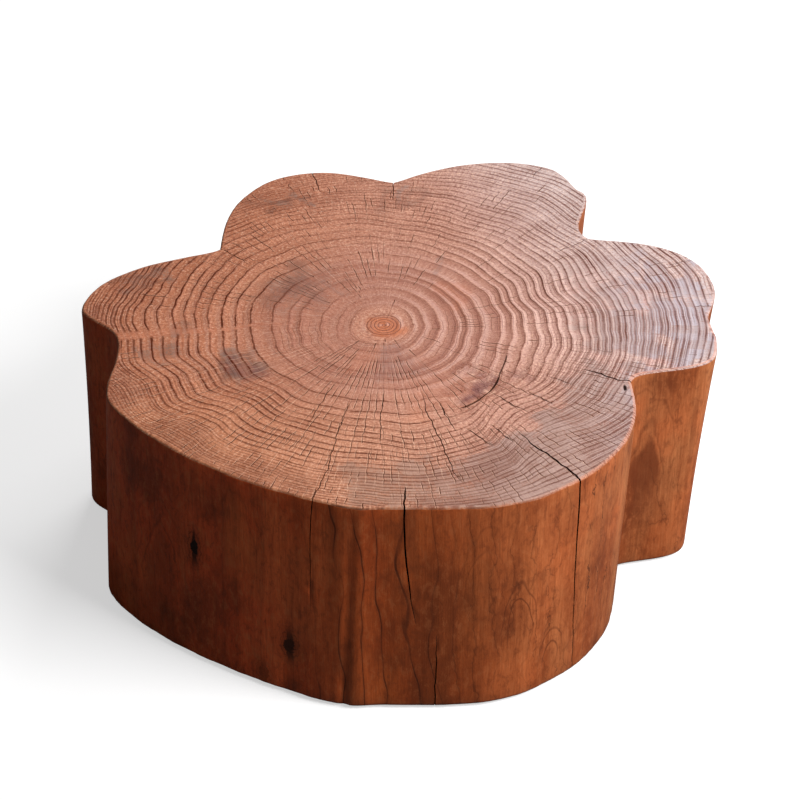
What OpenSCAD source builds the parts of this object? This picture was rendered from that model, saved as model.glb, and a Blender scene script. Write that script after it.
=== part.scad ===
// Live edge coffee table: one lobed slice of a debarked trunk, sawn flat at both ends, standing on
// six felt glides that are screwed into shallow pockets in its underside.
// Millimetres, +Z up. The origin is on the floor, under the middle of the plan.

/* [Log section] */
// Height of the sawn top above the floor
table_h = 355; // [300:5:420]
// Gap between the sawn underside and the floor, which the felt pads hold open
floor_gap = 3; // [2:0.5:8]
// Round worn onto the top edge
top_round = 4; // [3:0.5:10]
// Round worn onto the bottom edge
foot_round = 9; // [3:0.5:12]
// How far the trunk leans: the middle of the foot lies this far to the side of the top's
lean_x = -16; // [-25:1:10]
// The same, from front to back
lean_y = 0; // [-15:1:15]
// How much further out the foot of the front left lobe stands than its top
flare_left = 7; // [0:1:12]
// How much further in the foot of the right lobes stands than their top
tuck_right = 5; // [0:1:12]
// How much further out the foot of the front lobes stands than their top
flare_front = 4; // [0:1:8]
// How far the walls draw in at half height
waist = 1; // [0:0.5:8]

/* [Lobe tips, reach from the pith] */
// Lobe on the right
tip_right = 487; // [465:1:500]
// Lobe at the back right
tip_back_right = 489; // [455:1:500]
// Shoulder of that lobe, beside the crease at the back right
shoulder_back_right = 462; // [440:1:475]
// Lobe at the back left
tip_back_left = 423; // [405:1:440]
// Lobe on the left
tip_left = 433; // [400:1:450]
// Lobe at the front left
tip_front_left = 412; // [400:1:430]
// Lobe at the front
tip_front = 403; // [402:1:420]
// Lobe at the front right
tip_front_right = 430; // [410:1:450]
// Lobe on the right, nearer the front
tip_right_front = 468; // [461:1:480]

/* [Creases between lobes, reach from the pith] */
// Shallow crease in the middle of the right side
crease_right = 460; // [440:1:466]
// Crease between the right and the back right lobes
crease_back_right = 375; // [350:1:400]
// Crease at the back
crease_back = 378; // [350:1:400]
// Deep crease at the back left
crease_back_left = 311; // [290:1:350]
// Crease between the left and the front left lobes
crease_left = 375; // [350:1:395]
// Shallow hollow along the front left
crease_front_left = 388; // [375:1:398]
// Shallow hollow at the front
crease_front = 401; // [390:1:402]
// Crease between the front right and the right lobes
crease_front_right = 363; // [340:1:390]

/* [Drying checks] */
// Width of the widest check where it meets the edge
check_w = 4; // [2:0.5:7]
// Depth of a check below the top, and in from the wall
check_depth = 7; // [4:0.5:10]

/* [Glides] */
// Outer diameter of a glide's cup
cup_d = 50; // [40:1:60]
// Thickness of the cup's floor, which the screw holds
cup_floor = 3; // [2.8:0.1:4]
// Thickness of the cup's rim
cup_rim = 2; // [1.5:0.1:4]
// Depth of the pocket that a cup is let into, which is also the cup's height
pocket_depth = 6; // [5:0.5:12]
// Gap all round a cup in its pocket
pocket_clear = 0.5; // [0.2:0.1:1]
// Gap all round a felt pad in its cup
felt_clear = 0.2; // [0.1:0.05:0.4]
// Hole through the felt, for the screwdriver
felt_hole_d = 14; // [11:0.5:18]
// How far a glide's middle is set in from the edge of the foot
glide_inset = 80; // [50:5:120]

/* [Glide screws] */
// Diameter of the screw's shank
screw_d = 4.5; // [3.5:0.1:5]
// Length of the screw, head and point included
screw_l = 35; // [25:1:60]
// Diameter of its countersunk head
head_d = 8.8; // [7.8:0.1:10]
// Gap round the shank and under the head
screw_clear = 0.1; // [0.05:0.05:0.3]
// Length of the point
point_l = 5; // [3:0.5:8]
// Width across the arms of the cross recess in the head
recess_w = 4.4; // [3:0.1:5]
// Thickness of one arm of the cross recess
recess_arm = 1.1; // [0.8:0.1:1.4]
// Depth of the cross recess
recess_depth = 1.4; // [1:0.1:1.8]

/* [Hidden] */

WOOD = [0.60, 0.33, 0.20];
NYLON = [0.16, 0.14, 0.13];
FELT = [0.36, 0.33, 0.30];
STEEL = [0.72, 0.71, 0.68];

// The felt fills what the cup's floor leaves of the pocket, and stands proud of the underside.
felt_t = floor_gap + pocket_depth - cup_floor;
pocket_z = floor_gap + pocket_depth;

// The outline, turning anticlockwise about the pith: a crease, the tip after it, the next crease and so
// on. Each row is [direction in degrees, reach, how much further out the foot stands, hollow, full]. The
// last two shape the run to the next row: hollow is 1 where the run starts in a sharp crease and more
// where it starts round, and full is larger where the lobe swells out at once.
OUTLINE = [
    [2.6, crease_right, -tuck_right, 1.5, 3],
    [14, tip_right, -tuck_right, 1.3, 2.6],
    [36.5, crease_back_right, 0, 3, 3],
    [50, shoulder_back_right, 0, 1, 1],
    [50.5, shoulder_back_right, 0, 1.2, 1.7],
    [58.5, tip_back_right, 0, 1.15, 1.7],
    [88, crease_back, 0, 1.5, 2.5],
    [111, tip_back_left, 0, 1.2, 1.85],
    [141.5, crease_back_left, 0, 1.5, 2],
    [173, tip_left, -flare_left / 2, 3.5, 4],
    [188, crease_left, 0, 1.8, 1.7],
    [205, tip_front_left, flare_left, 2, 1.3],
    [241, crease_front_left, 0, 2.5, 1.5],
    [266, tip_front, flare_front, 2, 1.5],
    [272, crease_front, flare_front, 1.7, 1.7],
    [298, tip_front_right, flare_front, 1.1, 2.9],
    [339, crease_front_right, flare_front, 2.6, 8],
    [356, tip_right_front, -tuck_right, 2, 2]
];
STATIONS = len(OUTLINE);

// Share of the way from crease to tip, for a share t of the angle between them.
function swell(t, hollow, full) = 1 - pow(1 - pow(t, hollow), full);

function wrap(angle) =
    angle < OUTLINE[0][0] ? wrap(angle + 360) : angle >= OUTLINE[0][0] + 360 ? wrap(angle - 360) : angle;
function row_before(angle, i = 0) =
    i == STATIONS - 1 || angle < OUTLINE[i + 1][0] ? i : row_before(angle, i + 1);

// Outline in one direction: [reach of the top, how much further out the foot stands]. Even rows are
// creases and odd rows are tips, and each run is shaped from its crease.
function outline_in_run(angle, i) =
    let (here = OUTLINE[i], next = OUTLINE[(i + 1) % STATIONS])
    let (along = (angle - here[0]) / ((next[0] - here[0] + 360) % 360))
    let (crease = i % 2 == 0 ? here : next, tip = i % 2 == 0 ? next : here)
    let (share = swell(i % 2 == 0 ? along : 1 - along, here[3], here[4]))
    [
        crease[1] + (tip[1] - crease[1]) * share,
        here[2] + (next[2] - here[2]) * (1 - cos(180 * along)) / 2
    ];
function outline(angle) = outline_in_run(wrap(angle), row_before(wrap(angle)));
function reach(angle) = outline(angle)[0];
function foot_reach(angle) = let (o = outline(angle)) o[0] + o[1];

// Drying checks, each [direction, start as a share of the reach, share of check_w and check_depth,
// how far down the wall it runs as a share of the height].
CHECKS = [
    [20, 0.9, 0.5, 0.5],
    [36, 0.8, 0.6, 0.6],
    [60, 0.92, 0.5, 0.7],
    [88, 0.85, 0.5, 0.5],
    [106, 0.94, 0.4, 0.2],
    [141.5, 0.8, 0.5, 0.5],
    [165, 0.92, 0.5, 0.6],
    [256, 0.93, 0.5, 0.45],
    [263.5, 0.97, 0.4, 1],
    [274.3, 0.9, 0.9, 0.5],
    [280, 0.95, 0.5, 1],
    [307, 0.68, 1, 1],
    [339, 0.78, 0.6, 0.3]
];
function check_half_angle(check) = asin(check[2] * check_w / 2 / reach(check[0]));

// Columns of the loft: [direction, depth share, start, run down]. An even fan, with three columns in
// place of it at each check: its two lips and the bottom between them.
COLUMN_STEP = 2.5;
CLEAR_OF_CHECK = 0.5;
function near_check(angle) =
    len([for (check = CHECKS) if (abs(angle - check[0]) < check_half_angle(check) + CLEAR_OF_CHECK) 1]) > 0;
function sorted(rows) =
    len(rows) < 2 ? rows
    : let (pivot = rows[floor(len(rows) / 2)][0])
      concat(
          sorted([for (row = rows) if (row[0] < pivot) row]),
          [for (row = rows) if (row[0] == pivot) row],
          sorted([for (row = rows) if (row[0] > pivot) row])
      );
COLUMNS = sorted(concat(
    [for (angle = [0:COLUMN_STEP:359.9]) if (!near_check(angle)) [angle, 0, 1, 0]],
    [for (check = CHECKS, side = [-1, 1]) [check[0] + side * check_half_angle(check), 0, 1, 0]],
    [for (check = CHECKS) [check[0], check[2], check[1], check[3]]]
));

// Middle of the plan, so that the origin lies under it.
PLAN = [for (column = COLUMNS) reach(column[0]) * [cos(column[0]), sin(column[0])]];
FOOT = [for (column = COLUMNS) foot_reach(column[0]) * [cos(column[0]), sin(column[0])] + [lean_x, lean_y]];
function span_middle(points, axis) =
    (min([for (p = points) p[axis]]) + max([for (p = points) p[axis]])) / 2;
BOTH_ENDS = concat(PLAN, FOOT);
PITH = -[span_middle(BOTH_ENDS, 0), span_middle(BOTH_ENDS, 1)];

// Rings of the loft, from the pith out over the top, down the wall and in under the foot:
// [share of the reach, inset from the outline, height, share of a check's depth that it sinks by].
TOP_SHARES = [0.2, 0.45, 0.6, 0.75, 0.9];
WALL_SHARES = [0.9, 0.75, 0.55, 0.35, 0.15];
ROUND_STEPS = 3;
ROUND_TURNS = [for (i = [0:ROUND_STEPS]) 90 * i / ROUND_STEPS];
RINGS = concat(
    [for (share = TOP_SHARES) [share, 0, table_h, 1]],
    [for (turn = ROUND_TURNS) [1, top_round * (1 - sin(turn)), table_h - top_round * (1 - cos(turn)), 1]],
    [for (share = WALL_SHARES) [1, 0, floor_gap + (table_h - floor_gap) * share, 0]],
    [for (turn = ROUND_TURNS) [1, foot_round * (1 - cos(turn)), floor_gap + foot_round * (1 - sin(turn)), 0]]
);

// How far open a check is: over the top from its start to the edge, and down the wall to its end.
function opened(share, start) = max(0, (share - start) / (1 - start));
function closing(drop, run) = run <= 0 ? 0 : max(0, 1 - drop / run);

// One point of the loft. drop is 0 at the top and 1 at the foot.
function loft_point(column, ring) =
    let (angle = column[0], share = ring[0], drop = (table_h - ring[2]) / (table_h - floor_gap))
    let (depth = column[1] * check_depth * opened(share, column[2]) * closing(drop, column[3]))
    let (bow = 4 * waist * drop * (1 - drop))
    let (spread = outline(angle)[1] * (1 - pow(1 - drop, 2)))
    let (radius = share < 1 ? share * reach(angle) : reach(angle) + spread - bow - ring[1] - depth)
    [
        PITH[0] + lean_x * drop + radius * cos(angle),
        PITH[1] + lean_y * drop + radius * sin(angle),
        ring[2] - ring[3] * depth
    ];

module log_body() {
    n = len(COLUMNS);
    last = 1 + n * len(RINGS);
    points = concat(
        [[PITH[0], PITH[1], table_h]],
        [for (ring = RINGS, column = COLUMNS) loft_point(column, ring)],
        [[PITH[0] + lean_x, PITH[1] + lean_y, floor_gap]]
    );
    function at(ring, j) = 1 + ring * n + j % n;
    faces = concat(
        [for (j = [0:n - 1]) [0, at(0, j + 1), at(0, j)]],
        [for (i = [0:len(RINGS) - 2], j = [0:n - 1]) [at(i, j), at(i, j + 1), at(i + 1, j + 1)]],
        [for (i = [0:len(RINGS) - 2], j = [0:n - 1]) [at(i, j), at(i + 1, j + 1), at(i + 1, j)]],
        [for (j = [0:n - 1]) [at(len(RINGS) - 1, j), at(len(RINGS) - 1, j + 1), last]]
    );
    polyhedron(points, faces, convexity = 10);
}

// Directions of the glides from the pith, one under each of the larger lobes, and the place of each.
GLIDE_DIRECTIONS = [8, 60, 113, 173, 228, 298];
function glide_at(i) =
    let (angle = GLIDE_DIRECTIONS[i], radius = foot_reach(angle) - glide_inset)
    [PITH[0] + lean_x + radius * cos(angle), PITH[1] + lean_y + radius * sin(angle), 0];

// The screw's head lies flush with the underside of the cup's floor.
head_h = (head_d - screw_d) / 2;
head_z = pocket_z - cup_floor;
POINT_ROOM = 2;
CUT = 1;

// Pocket for a cup, with the hole for its screw above it.
module glide_pocket() {
    translate([0, 0, floor_gap - CUT])
        cylinder(d = cup_d + 2 * pocket_clear, h = pocket_depth + CUT, $fn = 64);
    translate([0, 0, pocket_z - CUT])
        cylinder(d = screw_d + 2 * screw_clear, h = screw_l - cup_floor + POINT_ROOM + CUT, $fn = 32);
}

// One slice of trunk: lobes and creases lofted about the pith, with its drying checks and glide pockets.
module log_section() {
    color(WOOD) difference() {
        log_body();
        for (i = [0:len(GLIDE_DIRECTIONS) - 1]) translate(glide_at(i)) glide_pocket();
    }
}

// Turned cup: a floor with a countersunk hole, and a rim that holds the felt.
module glide_cup(i) {
    hole_r = screw_d / 2 + screw_clear;
    sink_r = head_d / 2 + screw_clear;
    rim_r = cup_d / 2 - cup_rim;
    color(NYLON) translate(glide_at(i)) rotate_extrude($fn = 64) polygon([
        [hole_r, pocket_z],
        [hole_r, head_z + head_h],
        [sink_r, head_z],
        [rim_r, head_z],
        [rim_r, floor_gap],
        [cup_d / 2, floor_gap],
        [cup_d / 2, pocket_z]
    ]);
}

// Thick felt ring, which fills the cup and stands below it.
module felt_pad(i) {
    color(FELT) translate(glide_at(i)) difference() {
        cylinder(r = cup_d / 2 - cup_rim - felt_clear, h = felt_t, $fn = 64);
        translate([0, 0, -CUT]) cylinder(d = felt_hole_d, h = felt_t + 2 * CUT, $fn = 48);
    }
}

// Countersunk wood screw, head down, with its cross recess.
module glide_screw() {
    translate([0, 0, head_z]) difference() {
        rotate_extrude($fn = 32) polygon([
            [0, 0],
            [head_d / 2, 0],
            [screw_d / 2, head_h],
            [screw_d / 2, screw_l - point_l],
            [0, screw_l]
        ]);
        for (turn = [0, 90]) rotate(turn) cube([recess_w, recess_arm, 2 * recess_depth], center = true);
    }
}

module glide_screws() {
    color(STEEL) for (i = [0:len(GLIDE_DIRECTIONS) - 1]) translate(glide_at(i)) glide_screw();
}

log_section();
glide_cup(0);  // glide_cup_1
glide_cup(1);  // glide_cup_2
glide_cup(2);  // glide_cup_3
glide_cup(3);  // glide_cup_4
glide_cup(4);  // glide_cup_5
glide_cup(5);  // glide_cup_6
felt_pad(0);  // felt_pad_1
felt_pad(1);  // felt_pad_2
felt_pad(2);  // felt_pad_3
felt_pad(3);  // felt_pad_4
felt_pad(4);  // felt_pad_5
felt_pad(5);  // felt_pad_6
glide_screws();
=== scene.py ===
"""Live edge coffee table: a lobed slice of trunk with a brushed, oiled top, standing on felt glides."""

import math
from collections import namedtuple
from types import SimpleNamespace

import bpy
import numpy as np
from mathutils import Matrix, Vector


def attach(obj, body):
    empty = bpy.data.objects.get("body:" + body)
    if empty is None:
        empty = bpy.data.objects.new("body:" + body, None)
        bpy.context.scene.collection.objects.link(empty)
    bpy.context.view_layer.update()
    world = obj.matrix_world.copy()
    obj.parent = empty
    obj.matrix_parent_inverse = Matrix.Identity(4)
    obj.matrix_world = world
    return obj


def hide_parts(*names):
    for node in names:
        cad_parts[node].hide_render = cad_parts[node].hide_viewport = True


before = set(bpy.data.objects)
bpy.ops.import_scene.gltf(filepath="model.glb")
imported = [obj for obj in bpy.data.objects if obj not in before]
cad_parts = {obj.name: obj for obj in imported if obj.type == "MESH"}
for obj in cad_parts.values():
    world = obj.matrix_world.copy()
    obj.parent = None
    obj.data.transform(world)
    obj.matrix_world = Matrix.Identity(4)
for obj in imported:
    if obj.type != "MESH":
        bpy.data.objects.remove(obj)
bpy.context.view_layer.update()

MM = 0.001

# The log in millimetres, as the solid has it.
PITH = (-17.0456, -14.5964)
LEAN = -16.0
TOP = 355.0
SOLE = 3.0
HEIGHT = TOP - SOLE
EDGE_ROUND = 4.5
FOOT_ROUND = 9.0
WAIST = 1.0
SKIN = 0.4  # how far the wall stays inside the solid's
CREST = TOP - 0.05  # height of the crests that the brushing leaves between the rings

# Outline about the pith, creases and tips in turn:
# direction, reach, how much further out the foot stands, hollow, full.
OUTLINE = (
    (2.6, 460, -5, 1.5, 3),
    (14, 487, -5, 1.3, 2.6),
    (36.5, 375, 0, 3, 3),
    (50, 462, 0, 1, 1),
    (50.5, 462, 0, 1.2, 1.7),
    (58.5, 489, 0, 1.15, 1.7),
    (88, 378, 0, 1.5, 2.5),
    (111, 423, 0, 1.2, 1.85),
    (141.5, 311, 0, 1.5, 2),
    (173, 433, -3.5, 3.5, 4),
    (188, 375, 0, 1.8, 1.7),
    (205, 412, 7, 2, 1.3),
    (241, 388, 0, 2.5, 1.5),
    (266, 403, 4, 2, 1.5),
    (272, 401, 4, 1.7, 1.7),
    (298, 430, 4, 1.1, 2.9),
    (339, 363, 4, 2.6, 8),
    (356, 468, -5, 2, 2),
)

# Growth rings: direction, then the radius of each numbered ring there, to the nearest 5 mm.
RING_NUMBERS = (0, 3, 8, 9, 10.5, 13.5, 17, 20, 24, 33, 36)
RING_PATHS = (
    (0, 60, 160, 180, 205, 255, 300, 330, 380, 475),
    (20, 60, 160, 180, 200, 245, 290, 325, 380, 475),
    (40, 65, 160, 185, 205, 255, 300, 330, 375, 465),
    (60, 70, 165, 190, 215, 260, 300, 335, 390, 480),
    (80, 75, 170, 200, 225, 265, 310, 340, 385, 470),
    (105, 75, 180, 210, 240, 290, 330, 350, 380, 430),
    (130, 75, 185, 215, 250, 305, 340, 360, 385, 430),
    (150, 70, 190, 220, 250, 305, 350, 370, 400, 435),
    (180, 70, 185, 210, 240, 290, 345, 370, 400, 440),
    (205, 75, 180, 210, 235, 275, 325, 355, 375, 415),
    (230, 75, 175, 205, 225, 255, 300, 330, 350, 390),
    (260, 70, 170, 200, 225, 260, 300, 330, 355, 400),
    (285, 70, 175, 205, 240, 280, 310, 335, 365, 415),
    (310, 65, 175, 200, 230, 270, 305, 335, 365, 430),
    (330, 60, 170, 190, 220, 265, 295, 330, 375, 445),
    (345, 60, 160, 180, 210, 260, 300, 330, 375, 465),
)
LAST_RING_GAP = 30  # from ring 33 to ring 36

# Rings that swerve round the bark knot and the left furrow: ring, direction, spread, how far outwards.
RING_BENDS = (
    (9, 305, 15, 15),
    (10.5, 313, 8, -15),
    (13.5, 312, 11, -30),
    (17, 312, 11, -25),
    (20, 312, 11, -25),
    (24, 308, 11, -25),
    (17, 179, 6, 10),
    (20, 179, 6, 10),
    (24, 179, 6, 5),
)

# Drying cracks: path over the top as (radius, direction), width, depth, path down the wall as (share of
# the height, direction) where there is one, and whether the wall's part opens from the foot upwards.
Crack = namedtuple("Crack", "top width depth wall from_foot", defaults=((), False))
CRACKS = (
    Crack(((296, 306.6), (340, 306.3), (376, 306.9), (430, 306.9)), 2.6, 9,
          ((1, 306.9), (0.6, 307.7), (0.39, 308.4), (0.0, 310))),
    Crack(((355, 274.7), (380, 274.4), (402, 273.9)), 2.4, 8,
          ((1, 273.9), (0.8, 274.6), (0.56, 276.2), (0.4, 277.8))),
    Crack(((136, 290.1), (170, 288.2), (205, 286.3), (268, 286.3), (339, 285.8), (385, 287)), 1.5, 2.5),
    Crack(((190, 293.6), (222, 292), (268, 292.1)), 1.3, 2),
    Crack(((251, 294.9), (312, 298.4)), 1.3, 2),
    Crack(((264, 302.4), (320, 303.3)), 1.4, 2),
    Crack(((211, 313.4), (240, 313.6), (284, 314.4)), 1.7, 3),
    Crack(((243, 322.2), (296, 321.4)), 1.6, 2.5),
    Crack(((246, 332.5), (296, 331.6)), 1.4, 2),
    Crack(((290, 339.5), (320, 339), (345, 338.3), (364, 339)), 2.8, 6, ((1, 339), (0.7, 339))),
    Crack(((160, 253.7), (200, 255.4), (330, 257.4), (398, 256.7)), 1.4, 2.5,
          ((1, 256.6), (0.8, 256.6), (0.45, 257.2))),
    Crack(((150, 242), (190, 244.8), (265, 246.3)), 1.3, 2),
    Crack(((150, 270), (215, 269), (292, 269.6)), 1.2, 2),
    Crack(((352, 105.9), (424, 105.6)), 1.4, 3, ((1, 105.6), (0.8, 105.6))),
    Crack(((300, 36), (376, 36)), 1.3, 3, ((1, 36), (0.5, 36))),
    Crack(((438, 20), (480, 20)), 1.3, 3, ((1, 20), (0.5, 20.4)), from_foot=True),
    Crack(((450, 60), (490, 60)), 1.3, 3, ((1, 60), (0.3, 60.6)), from_foot=True),
    Crack(((322, 88), (380, 88)), 1.3, 3, ((1, 88), (0.5, 88))),
    Crack(((250, 141.5), (312, 141.5)), 1.4, 3, ((1, 141.5), (0.5, 141.5))),
    Crack(((396, 165), (432, 165)), 1.3, 3, ((1, 165), (0.4, 165))),
    Crack(((436, 280), (460, 280)), 1.6, 4,
          ((1, 280), (0.9, 280.2), (0.42, 281.4), (0.0, 282)), from_foot=True),
)

# How the rings stand out in each direction: how deep the wood between their crests is brushed out,
# short and long waves of the rings, all in millimetres, and how dark the ring lines are.
RELIEF = (
    (0, 1.2, 0.3, 2.0, 0.75),
    (15, 1.2, 0.35, 2.2, 0.85),
    (30, 1.1, 0.35, 2.2, 0.9),
    (50, 1.1, 0.35, 2.0, 0.75),
    (75, 0.8, 0.35, 1.5, 0.65),
    (110, 0.4, 0.35, 1.2, 0.48),
    (135, 0.7, 0.35, 1.5, 0.75),
    (155, 0.9, 0.4, 1.5, 1.0),
    (180, 1.0, 0.4, 1.5, 1.0),
    (200, 1.0, 0.4, 2.6, 1.0),
    (225, 0.8, 0.3, 2.4, 0.95),
    (250, 0.7, 0.3, 1.8, 0.9),
    (280, 0.6, 0.3, 1.6, 0.85),
    (310, 0.6, 0.3, 1.5, 0.65),
    (335, 0.95, 0.3, 1.6, 0.75),
)

# The rough band from the left crease towards the pith, as (radius, direction) and (radius, half width).
FURROW_COURSE = ((150, 178.2), (177, 178.7), (212, 182.2), (258, 182.7), (286, 182.9), (342, 183.8),
                 (373, 184.2))
FURROW_HALF = ((160, 2.5), (200, 3.5), (250, 5), (295, 7), (375, 10))

# The log piece's grid: a column to each direction, and rows that follow the rings, the rim, the wall and
# the foot. Each ring has a row at each of these shares of its width.
COLUMNS = 576
COLUMN_STEP = 360 / COLUMNS
COLUMN_TURNS = np.arange(COLUMNS) * COLUMN_STEP
RINGS = 34
RING_STEPS = (0.1, 0.34, 0.64, 0.92, 1.0)
ROW_GROWTH = np.array([0.0] + [ring + step for ring in range(RINGS) for step in RING_STEPS])
RING_ROWS = len(ROW_GROWTH)
RIM_TURNS = (0, 22.5, 45, 67.5, 90)
WALL_ROWS = 22
FOOT_TURNS = (30, 60, 90)
SHELF = 1.6  # the last ring row lies this far inside the rim
SHELF_CLEAR = 0.9  # a ring row that comes closer to it than this is drawn onto it
# Nearer the pith only every eighth, fourth and second column stays, up to these rings.
THINNING = ((2, 8), (4, 4), (6.4, 2))

FOLD = 264.6  # direction of the sharp fold that runs down the wall beside the front crease
SLANT_RING = 9  # the slanting crack beside the bark knot follows this ring
SLANT_HALF = 1.7  # from its bottom to each of its lips
SLANT_DEPTH = 7
CRACKS_FROM = 118  # cracks have their own lips beyond this radius
NARROW_FROM = 60  # within this radius a crack narrows with the columns
BEND_REACH = 9  # the turn of a crack's column eases off over this many columns on each side
BEND_CLEAR = 3.4  # unless another crack lies within this many degrees of there


def smooth(x, low, high):
    """0 up to the low value, 1 from the high one, and eased between."""
    t = np.clip((x - low) / (high - low), 0, 1)
    return t * t * (3 - 2 * t)


def angle_from(turns, centre):
    """Degrees from a centre direction, from -180 to 180."""
    return np.mod(turns - centre + 180, 360) - 180


def in_plan(turns, radii):
    """Places about the pith, from directions and radii."""
    return radii * np.cos(np.radians(turns)), radii * np.sin(np.radians(turns))


def closed_curve(stops, values, turns):
    """Smooth closed curve through rows of values given at some directions."""
    stops = np.asarray(stops, float)
    values = np.asarray(values, float)
    stops = np.concatenate([stops[-2:] - 360, stops, stops[:2] + 360])
    values = np.concatenate([values[-2:], values, values[:2]])
    turns = np.mod(turns, 360)
    i = np.clip(np.searchsorted(stops, turns, side="right") - 1, 1, len(stops) - 3)
    gap = (stops[i + 1] - stops[i])[:, None]
    t = ((turns - stops[i]))[:, None] / gap
    slope_in = (values[i + 1] - values[i - 1]) / (stops[i + 1] - stops[i - 1])[:, None] * gap
    slope_out = (values[i + 2] - values[i]) / (stops[i + 2] - stops[i])[:, None] * gap
    start = (2 * t**3 - 3 * t**2 + 1) * values[i] + (t**3 - 2 * t**2 + t) * slope_in
    return start + (3 * t**2 - 2 * t**3) * values[i + 1] + (t**3 - t**2) * slope_out


def outline(turns):
    """Reach of the top, and how much further out the foot stands, in each direction."""
    rows = np.array(OUTLINE)
    wrapped = np.mod(np.asarray(turns, float) - rows[0, 0], 360) + rows[0, 0]
    i = np.searchsorted(rows[:, 0], wrapped, side="right") - 1
    here = rows[i]
    following = rows[(i + 1) % len(rows)]
    along = (wrapped - here[..., 0]) / np.mod(following[..., 0] - here[..., 0], 360)
    from_crease = i % 2 == 0
    t = np.where(from_crease, along, 1 - along)
    share = 1 - (1 - t ** here[..., 3]) ** here[..., 4]
    crease = np.where(from_crease, here[..., 1], following[..., 1])
    tip = np.where(from_crease, following[..., 1], here[..., 1])
    extra = here[..., 2] + (following[..., 2] - here[..., 2]) * (1 - np.cos(np.pi * along)) / 2
    return crease + (tip - crease) * share, extra


def drawn_in(inset, foot=False):
    """The outline drawn in by an even distance, square to the wall: directions and radii."""
    fine = np.arange(0, 360, 0.1)
    reach, extra = outline(fine)
    reach = reach + (extra if foot else 0) - SKIN
    x, y = in_plan(fine, reach)
    dx = np.roll(x, -1) - np.roll(x, 1)
    dy = np.roll(y, -1) - np.roll(y, 1)
    length = np.hypot(dx, dy)
    x, y = x - inset * dy / length, y + inset * dx / length
    direction = np.maximum.accumulate(fine + angle_from(np.degrees(np.arctan2(y, x)), fine))
    radius = np.hypot(x, y)
    ends = slice(-60, None), slice(None, 60)
    direction = np.concatenate([direction[ends[0]] - 360, direction, direction[ends[1]] + 360])
    return direction, np.concatenate([radius[ends[0]], radius, radius[ends[1]]])


def reach_at(curve, turns):
    """Reach of a drawn-in outline in some directions."""
    return np.interp(np.mod(turns, 360), *curve)


def waves(turns, radii, cycles, radial_length, seed, count=16):
    """Smooth unevenness round the log, about -1 to 1, that turns slowly with the radius."""
    rng = np.random.default_rng(seed)
    total = 0
    for _ in range(count):
        around = rng.integers(cycles[0], cycles[1] + 1)
        outward = 2 * np.pi / radial_length * rng.uniform(-1, 1)
        total = total + np.sin(np.radians(turns) * around + radii * outward + rng.uniform(0, 2 * np.pi))
    return total / math.sqrt(count / 2)


def drift(x, y, size, seed, count=16):
    """Smooth unevenness over the plan, about -1 to 1, in patches of about that size."""
    rng = np.random.default_rng(seed)
    total = 0
    for _ in range(count):
        turn = rng.uniform(0, 2 * np.pi)
        rate = 2 * np.pi / (size * rng.uniform(0.9, 2.2))
        along = x * math.cos(turn) + y * math.sin(turn)
        total = total + np.sin(along * rate + rng.uniform(0, 2 * np.pi))
    return total / math.sqrt(count / 2)


def furrow(turns, radii, inner, outer):
    """Share of the left furrow's band. Its soft edge lies between two shares of its half width."""
    middle = np.interp(radii, *np.transpose(FURROW_COURSE))
    half = np.interp(radii, *np.transpose(FURROW_HALF))
    off = np.radians(np.abs(angle_from(turns, middle))) * radii / half
    return (1 - smooth(off, inner, outer)) * smooth(radii, 120, 170)


def ring_edges():
    """Ring numbers of the rows' ring borders: no two rings are equally wide."""
    rng = np.random.default_rng(11)
    edges = np.arange(RINGS + 2) + rng.uniform(-0.2, 0.2, RINGS + 2)
    edges[0] = 0
    edges[SLANT_RING] = SLANT_RING
    return edges


def crack_columns():
    """The column that each crack takes: the nearest to its mean direction."""
    found = []
    for crack in CRACKS:
        direction = np.mean([point[1] for point in crack.top])
        found.append(int(round(direction / 360 * COLUMNS)) % COLUMNS)
    return found


def bend(columns, directions):
    """How far every column turns so that the crack columns reach some directions, eased between."""
    anchors = {}
    for column in columns:
        others = np.array([other for other in columns if other != column])
        for end in (column - BEND_REACH, column + BEND_REACH):
            if np.abs(angle_from((end - others) * COLUMN_STEP, 0)).min() > BEND_CLEAR:
                anchors[end % COLUMNS] = 0.0
    for column, direction in zip(columns, directions):
        anchors[column] = angle_from(direction, COLUMN_TURNS[column])
    spots = np.array(sorted(anchors))
    values = np.array([anchors[s] for s in spots])
    spots = np.concatenate([[spots[-1] - COLUMNS], spots, [spots[0] + COLUMNS]])
    values = np.concatenate([[values[-1]], values, [values[0]]])
    return np.interp(np.arange(COLUMNS), spots, values)


def over_the_top(crack, radii):
    """Direction and openness of a crack at some radii on the top."""
    path = np.array(crack.top, float)
    start, end = path[0, 0], path[-1, 0]
    direction = np.interp(radii, path[:, 0], path[:, 1])
    wander = 0.7 * np.sin(radii / 7.3 + crack.width) + 0.5 * np.sin(radii / 3.1 + 2 * crack.width)
    settled = smooth(radii, start - 5, start + 20)
    direction = direction + np.degrees(wander * settled / np.maximum(radii, NARROW_FROM))
    fade = 0.35 * (end - start)
    opened = smooth(radii, start, start + fade)
    if not crack.wall:
        opened = opened * (1 - smooth(radii, end - fade, end))
    return direction, opened


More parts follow.
